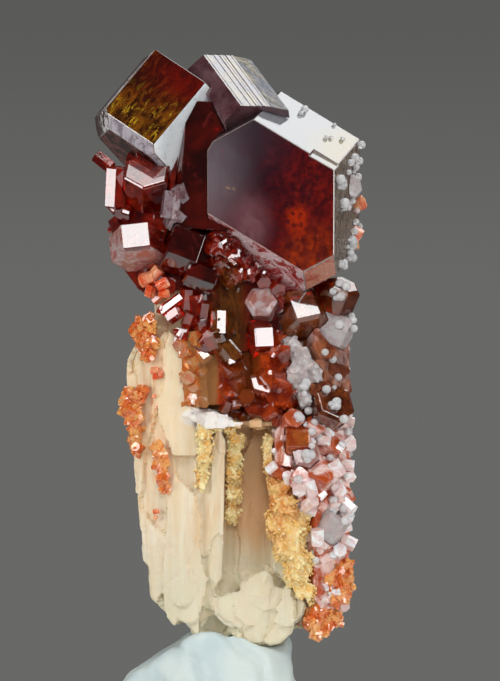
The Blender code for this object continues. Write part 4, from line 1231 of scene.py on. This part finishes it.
def thin_blade(place, outward, size, dice):
    """A thin upright blade of baryte that stands edge-on to the surface."""
    width, depth, height = size
    through = Vector((-outward.y, outward.x, 0)).normalized()
    through = (through + Vector((0, 0, dice.uniform(-BLADE_LEAN, BLADE_LEAN)))).normalized()
    out = Vector((outward.x, outward.y, 0)).normalized()
    up = through.cross(out)
    if up.z < 0:
        up = -up
    faces = []
    for direction, reach in ((through, width / 2), (out, depth), (up, height / 2)):
        faces += [(direction, reach), (-direction, reach)]
    for end in (1, -1):
        slant = math.radians(dice.uniform(*BLADE_SLANTS))
        corner = out * math.cos(slant) + up * end * math.sin(slant)
        reach = depth * math.cos(slant) + height / 2 * math.sin(slant)
        faces.append((corner, reach - dice.uniform(*BLADE_CUTS) * height * math.sin(slant)))
    return closed_form(place, faces)


# Slabs of the white ledge: place, direction along it, and width, depth and height in millimetres.
LEDGE_SLABS = [
    ((-1.75, -2.9, 18.2), (1, 0, -0.3), (1.5, 1.4, 0.6)),
    ((-0.75, -3.0, 17.75), (1, 0, -0.1), (1.7, 1.8, 1.0)),
    ((0.35, -2.9, 17.7), (1, 0, -0.25), (1.6, 1.4, 0.6)),
    ((1.7, -2.6, 17.6), (1, 0, 0.02), (2.6, 1.3, 0.45)),
]


class SPECIMEN_OT_matrix(bpy.types.Operator):
    """Models the baryte column over its solid: thin upright blades, streaks and a chipped skin"""

    bl_idname = "specimen.matrix"
    bl_label = "Baryte matrix"

    def execute(self, context):
        settings = context.scene.specimen.matrix
        dice = random.Random(settings.seed)
        search = tree_of("baryte_matrix")
        body = merged("baryte_matrix")
        for _ in range(settings.ridges):
            angle = dice.uniform(0, 2 * math.pi)
            z = dice.uniform(*BLADE_SPAN)
            direction = Vector((math.cos(angle), math.sin(angle), 0))
            start = Vector((*COLUMN_MIDDLE, z)) + direction * REAR
            point, normal, _, _ = search.ray_cast(start, -direction)
            # Blades stand only on open, upright sides that don't face the viewer.
            if point is None or abs(normal.z) > 0.6 or not exposed(point, normal, 0.5) or normal.y < -0.2:
                continue
            height = dice.uniform(*BLADE_HEIGHTS)
            size = (dice.uniform(*BLADE_WIDTHS), dice.uniform(*BLADE_DEPTHS), height)
            added(body, thin_blade(point, normal, size, dice))
        for place, across, size in LEDGE_SLABS:
            along = Vector(across).normalized()
            up = along.cross(Vector((0, 1, 0))).normalized()
            width, depth, height = size
            faces = [
                (along, width / 2), (-along, width / 2), (up, height / 2), (-up, height / 2),
                ((0, 1, 0), depth / 2), ((0, -1, 0), depth / 2), ((-0.6, -0.8, 0), depth * 0.45),
            ]
            added(body, closed_form(place, faces))
        data = remeshed(body, settings.voxel)

        def streaks(place):
            """Upright streaks, on small plates that stand at slightly different heights."""
            upright = noise.noise(Vector((place.x * 1.7, place.y * 1.7, place.z * 0.16)))
            thin = noise.noise(Vector((place.x * 4.5, place.y * 4.5, place.z * 0.5 + 9)))
            rough = noise.fractal(place * 1.6, 0.7, 2.0, 4)
            bent = Vector((place.x + 0.5 * noise.noise(place * 0.4), place.y, place.z * 0.3))
            distance, spots = noise.voronoi(bent * 0.55)
            plate = settings.plates * (noise.cell(spots[0] * 9) - 0.5)
            crease = max(0.0, 0.5 - 5 * (distance[1] - distance[0]))
            return settings.relief * (upright * 1.5 + thin * 0.6 + rough * 0.45 - crease) + plate

        displaced(data, streaks)
        finished("baryte_column", data, (matrix_surface(settings),), "baryte", ("baryte_matrix",))
        return {"FINISHED"}


class SPECIMEN_OT_ochre(bpy.types.Operator):
    """Models the two ochre tracks as rough crusts with loose grains"""

    bl_idname = "specimen.ochre"
    bl_label = "Ochre crusts"

    def execute(self, context):
        settings = context.scene.specimen.ochre
        surface = ochre_surface(settings)

        def lumps(place):
            drawn = Vector((place.x * 1.9, place.y * 1.9, place.z * 0.9))
            return settings.relief * (noise.turbulence(drawn, 4, False) - 0.45)

        for node, name in (("centre_ochre", "centre_ochre_crust"), ("right_ochre", "right_ochre_crust")):
            data = remeshed(merged(node), settings.voxel)
            displaced(data, lumps)
            finished(name, data, (surface,), "ochre", (node,), smooth=True)

        data = grown(
            scatter_tree("grain"),
            carrier(("centre_ochre", "right_ochre")),
            Density=settings.grains,
            Smallest=settings.smallest,
            Largest=settings.largest,
            Tilt=settings.tilt,
            Seed=settings.seed,
            Surface=surface,
        )
        finished("ochre_grains", data, (surface,), "ochre")
        return {"FINISHED"}


# Clear beads on the front: across, up and radius in millimetres.
FRONT_BEADS = [
    (1.9, 40.6, 0.26), (2.3, 40.9, 0.22), (2.6, 40.3, 0.2), (4.2, 38.9, 0.24), (4.9, 37.1, 0.26),
    (4.7, 36.9, 0.16), (6.8, 36.2, 0.13), (6.3, 35.4, 0.15), (7.3, 35.3, 0.16), (6.6, 35.4, 0.13),
    (8.3, 35.0, 0.3), (7.9, 34.2, 0.32), (8.2, 34.0, 0.28), (7.7, 33.9, 0.24), (8.0, 33.6, 0.26),
    (7.6, 33.3, 0.2), (7.8, 31.5, 0.24), (8.1, 30.9, 0.22), (8.0, 30.2, 0.24), (8.2, 29.9, 0.26),
    (7.9, 29.6, 0.26), (8.1, 29.3, 0.28), (7.1, 26.2, 0.28), (7.5, 26.0, 0.3), (6.8, 25.9, 0.24),
    (7.3, 25.6, 0.3), (7.0, 25.5, 0.22), (7.8, 24.4, 0.24), (8.2, 24.3, 0.24), (7.9, 24.0, 0.22),
    (6.2, 22.0, 0.24), (6.6, 21.5, 0.28), (7.1, 20.6, 0.26), (5.4, 18.4, 0.28), (5.6, 17.8, 0.26),
    (5.5, 17.2, 0.28), (5.8, 16.7, 0.3), (5.3, 16.2, 0.22), (6.9, 18.6, 0.3), (7.3, 17.9, 0.3),
    (7.5, 17.1, 0.28), (7.2, 16.2, 0.26), (6.6, 15.6, 0.24), (7.0, 14.8, 0.3), (6.9, 12.8, 0.3),
    (7.4, 12.4, 0.3), (7.7, 11.9, 0.28), (7.4, 11.4, 0.26), (6.7, 12.2, 0.24), (-8.6, 35.9, 0.3),
    (-8.3, 36.6, 0.22),
]

# Beads on the right and at the back: the axis that they stand round, the angles in degrees and the
# heights that they cover, how far left they reach, the height above which only sides that face right
# have any, and how far the beads of one cluster stray.
BEAD_AXIS = (3.4, 0.4)
BEAD_ANGLES = (-75, 95)
BEAD_SPAN = (9.0, 35.5)
BEAD_LEFT = 3.2
BEAD_TOP = 26.5
BEAD_STRAY = 0.4


class SPECIMEN_OT_beads(bpy.types.Operator):
    """Sets the clear beads down the right-hand side and round to the back"""

    bl_idname = "specimen.beads"
    bl_label = "Clear beads"

    def execute(self, context):
        settings = context.scene.specimen.beads
        dice = random.Random(settings.seed)
        rows = []
        for x, z, radius in FRONT_BEADS:
            point, normal = seen(x, z)
            if point is not None:
                rows.append((point + normal * radius * (1 - settings.sunk), radius))
        while len(rows) < settings.count:
            angle = math.radians(dice.uniform(*BEAD_ANGLES))
            z = dice.uniform(*BEAD_SPAN)
            direction = Vector((math.cos(angle), math.sin(angle), 0))
            point, normal, _, _ = WHOLE.ray_cast(Vector((*BEAD_AXIS, z)) + direction * REAR, -direction)
            if point is None or point.x < BEAD_LEFT or (point.z > BEAD_TOP and normal.x < 0.5):
                continue
            for _ in range(dice.randint(1, 4)):
                nudge = Vector([dice.uniform(-BEAD_STRAY, BEAD_STRAY) for _ in range(3)])
                near, outward, _, _ = WHOLE.find_nearest(point + nudge)
                if exposed(near, outward, 0.4):
                    radius = dice.uniform(settings.smallest, settings.largest)
                    rows.append((near + outward * radius * (1 - settings.sunk), radius))
        mesh = bmesh.new()
        layer = mesh.verts.layers.float.new("radius")
        for place, radius in rows:
            mesh.verts.new(place)[layer] = radius
        surface = bead_surface()
        data = grown(bead_tree(), mesh, Flatness=settings.flatness, Surface=surface)
        finished("clear_beads", data, (surface,), "vanadinite_frosted", smooth=True)
        return {"FINISHED"}


# Height below which the putty is pressed flat on what it stands on, in millimetres.
PUTTY_FLAT = 0.35


class SPECIMEN_OT_putty(bpy.types.Operator):
    """Models the lump of putty with soft folds and a flat underside"""

    bl_idname = "specimen.putty"
    bl_label = "Putty"

    def execute(self, context):
        settings = context.scene.specimen.putty
        data = remeshed(merged("putty_mount"), settings.voxel)
        mesh = bmesh.new()
        mesh.from_mesh(data)
        for _ in range(settings.softness):
            axes = {"use_axis_x": True, "use_axis_y": True, "use_axis_z": True}
            bmesh.ops.smooth_vert(mesh, verts=mesh.verts, factor=0.5, **axes)
        mesh.to_mesh(data)
        mesh.free()

        def kneaded(place):
            """Slanting creases across the front, over soft unevenness."""
            front = max(0.0, min(1.0, -place.y / 2 - 0.5))
            bend = place.x + 0.9 * place.z + 0.8 * noise.noise(place * 0.5)
            gaps = [(bend - line) / settings.crease_width for line in settings.creases]
            crease = sum(math.exp(-gap ** 2) for gap in gaps)
            soft = 0.10 * noise.noise(place * 0.5) + 0.05 * noise.noise(place * 1.3) + 0.05
            return soft - settings.crease_depth * front * crease

        displaced(data, kneaded)
        place, _ = coordinates(data)
        place[:, 2] = np.where(place[:, 2] < PUTTY_FLAT, 0.0, place[:, 2])
        data.vertices.foreach_set("co", place.ravel())
        data.update()
        finished("putty_lump", data, (putty_surface(settings),), "putty", ("putty_mount",), smooth=True)
        return {"FINISHED"}


# The round floor: its radius, how far it reaches towards the viewer, its thickness and its corners.
FLOOR_REACH = 42.0
FLOOR_SHIFT = -17.0
FLOOR_THICKNESS = 1.5
FLOOR_CORNERS = 64

# What the soft boxes look at, in millimetres.
LIT_PLACE = (0.5, 0, 28.0)

# Soft boxes: direction from the specimen, distance, width and height in millimetres, radiance.
SOFT_BOXES = {
    "back_box": ((0.256, 0.852, 0.457), 190, 90, 80, 1.7),
    "right_box": ((0.93, -0.35, -0.10), 200, 90, 120, 4.8),
    "left_box": ((-0.90, -0.03, -0.43), 170, 44, 40, 3.6),
    "front_top_box": ((0.05, -0.55, 0.83), 190, 90, 70, 6.0),
    "top_box": ((0.398, 0.463, 0.79), 190, 70, 60, 2.9),
    "overhead_box": ((-0.02, -0.10, 0.99), 190, 80, 100, 3.0),
    "left_front_box": ((-0.84, -0.52, 0.12), 220, 110, 130, 5.2),
    "right_front_box": ((0.60, -0.785, 0.14), 230, 56, 56, 6.4),
    "viewer_box": ((0.02, -1.0, 0.28), 330, 90, 90, 8.5),
}


def lay_floor(scene, settings):
    """The round pale floor, its top at the height of the putty's underside."""
    mesh = bmesh.new()
    corners = []
    for step in range(FLOOR_CORNERS):
        angle = 2 * math.pi * step / FLOOR_CORNERS
        x, y = FLOOR_REACH * math.cos(angle), FLOOR_REACH * math.sin(angle) + FLOOR_SHIFT
        corners.append(mesh.verts.new((x, y, 0)))
    thick = bmesh.ops.extrude_face_region(mesh, geom=[mesh.faces.new(corners)])
    lower = [part for part in thick["geom"] if isinstance(part, bmesh.types.BMVert)]
    bmesh.ops.translate(mesh, verts=lower, vec=(0, 0, -FLOOR_THICKNESS))
    bmesh.ops.recalc_face_normals(mesh, faces=mesh.faces)
    data = mesh_data("floor", mesh)
    data.transform(Matrix.Scale(MM, 4))
    data.materials.append(floor_surface(settings))
    floor = bpy.data.objects.new("floor", data)
    scene.collection.objects.link(floor)


def hang_lights(scene, settings):
    """The soft boxes, all aimed at the same place."""
    aim = Vector(LIT_PLACE) * MM
    for name, (direction, distance, width, height, radiance) in SOFT_BOXES.items():
        lamp = bpy.data.lights.new(name, "AREA")
        lamp.shape = "RECTANGLE"
        lamp.size = width * MM
        lamp.size_y = height * MM
        lamp.energy = radiance * settings.lights * math.pi * lamp.size * lamp.size_y
        box = bpy.data.objects.new(name, lamp)
        scene.collection.objects.link(box)
        away = Vector(direction).normalized()
        box.location = aim + away * distance * MM
        box.rotation_euler = away.to_track_quat("Z", "Y").to_euler()
        box.visible_camera = False


def colour_room(scene, settings):
    """Grey behind the specimen, a darker grey above the horizon, and a dark room on the viewer's side."""
    world = bpy.data.worlds.new("studio")
    scene.world = world
    world.use_nodes = True
    nodes = world.node_tree.nodes
    link = world.node_tree.links.new
    direction = nodes.new("ShaderNodeTexCoord")
    parts = nodes.new("ShaderNodeSeparateXYZ")
    link(direction.outputs["Generated"], parts.inputs["Vector"])
    mixed = []
    for axis, low, high in (("Z", 0.0, 0.06), ("Y", 0.1, 0.8)):
        step = nodes.new("ShaderNodeMapRange")
        step.interpolation_type = "SMOOTHSTEP"
        step.inputs["From Min"].default_value = low
        step.inputs["From Max"].default_value = high
        link(parts.outputs[axis], step.inputs["Value"])
        blend = nodes.new("ShaderNodeMix")
        blend.data_type = "RGBA"
        link(step.outputs["Result"], blend.inputs[0])
        mixed.append(blend)
    mixed[0].inputs[6].default_value = (*settings.backdrop, 1.0)
    mixed[0].inputs[7].default_value = (*settings.backdrop_top, 1.0)
    mixed[1].inputs[6].default_value = (*settings.room, 1.0)
    link(mixed[0].outputs[2], mixed[1].inputs[7])
    link(mixed[1].outputs[2], nodes["Background"].inputs["Color"])


def aim_camera(scene, settings):
    """The camera, level and straight in front, with the view as tall as VIEW_HEIGHT at the specimen."""
    lens = bpy.data.cameras.new("camera")
    lens.sensor_width = SENSOR
    lens.lens = SENSOR * settings.distance / VIEW_HEIGHT
    lens.clip_start = 0.01
    lens.clip_end = 10.0
    camera = bpy.data.objects.new("camera", lens)
    scene.collection.objects.link(camera)
    camera.location = Vector((EYE.x, -settings.distance, EYE.z)) * MM
    camera.rotation_euler = Euler((math.radians(90), 0, 0))
    scene.camera = camera


class SPECIMEN_OT_stage(bpy.types.Operator):
    """Sets the pale floor, the soft lights, the surroundings and the camera"""

    bl_idname = "specimen.stage"
    bl_label = "Studio"

    def execute(self, context):
        settings = context.scene.specimen.stage
        for step in (lay_floor, hang_lights, colour_room, aim_camera):
            step(context.scene, settings)
        context.scene.view_settings.view_transform = "Standard"
        return {"FINISHED"}


class SPECIMEN_PT_panel(bpy.types.Panel):
    """Lists the steps that make the specimen"""

    bl_idname = "SPECIMEN_PT_panel"
    bl_label = "Vanadinite on matrix"
    bl_space_type = "VIEW_3D"
    bl_region_type = "UI"
    bl_category = "Specimen"

    def draw(self, context):
        for step in STEPS:
            self.layout.operator(step.bl_idname)


STEPS = (
    SPECIMEN_OT_large_crystals,
    SPECIMEN_OT_single_crystals,
    SPECIMEN_OT_druse,
    SPECIMEN_OT_matrix,
    SPECIMEN_OT_stray_crystals,
    SPECIMEN_OT_ochre,
    SPECIMEN_OT_beads,
    SPECIMEN_OT_putty,
    SPECIMEN_OT_stage,
)
GROUPS = (
    CrystalSettings, DruseSettings, MatrixSettings, OchreSettings,
    BeadSettings, PuttySettings, StageSettings, SpecimenSettings,
)


def register():
    """Registers the settings, the steps and the panel."""
    for item in GROUPS + STEPS + (SPECIMEN_PT_panel,):
        bpy.utils.register_class(item)
    bpy.types.Scene.specimen = PointerProperty(type=SpecimenSettings)


def unregister():
    """Takes them away again."""
    del bpy.types.Scene.specimen
    for item in reversed(GROUPS + STEPS + (SPECIMEN_PT_panel,)):
        bpy.utils.unregister_class(item)


def main():
    """Makes the specimen."""
    register()
    bpy.ops.specimen.large_crystals()
    bpy.ops.specimen.single_crystals()
    bpy.ops.specimen.druse()
    bpy.ops.specimen.matrix()
    bpy.ops.specimen.stray_crystals()
    bpy.ops.specimen.ochre()
    bpy.ops.specimen.beads()
    bpy.ops.specimen.putty()
    bpy.ops.specimen.stage()


if __name__ == "__main__":
    main()
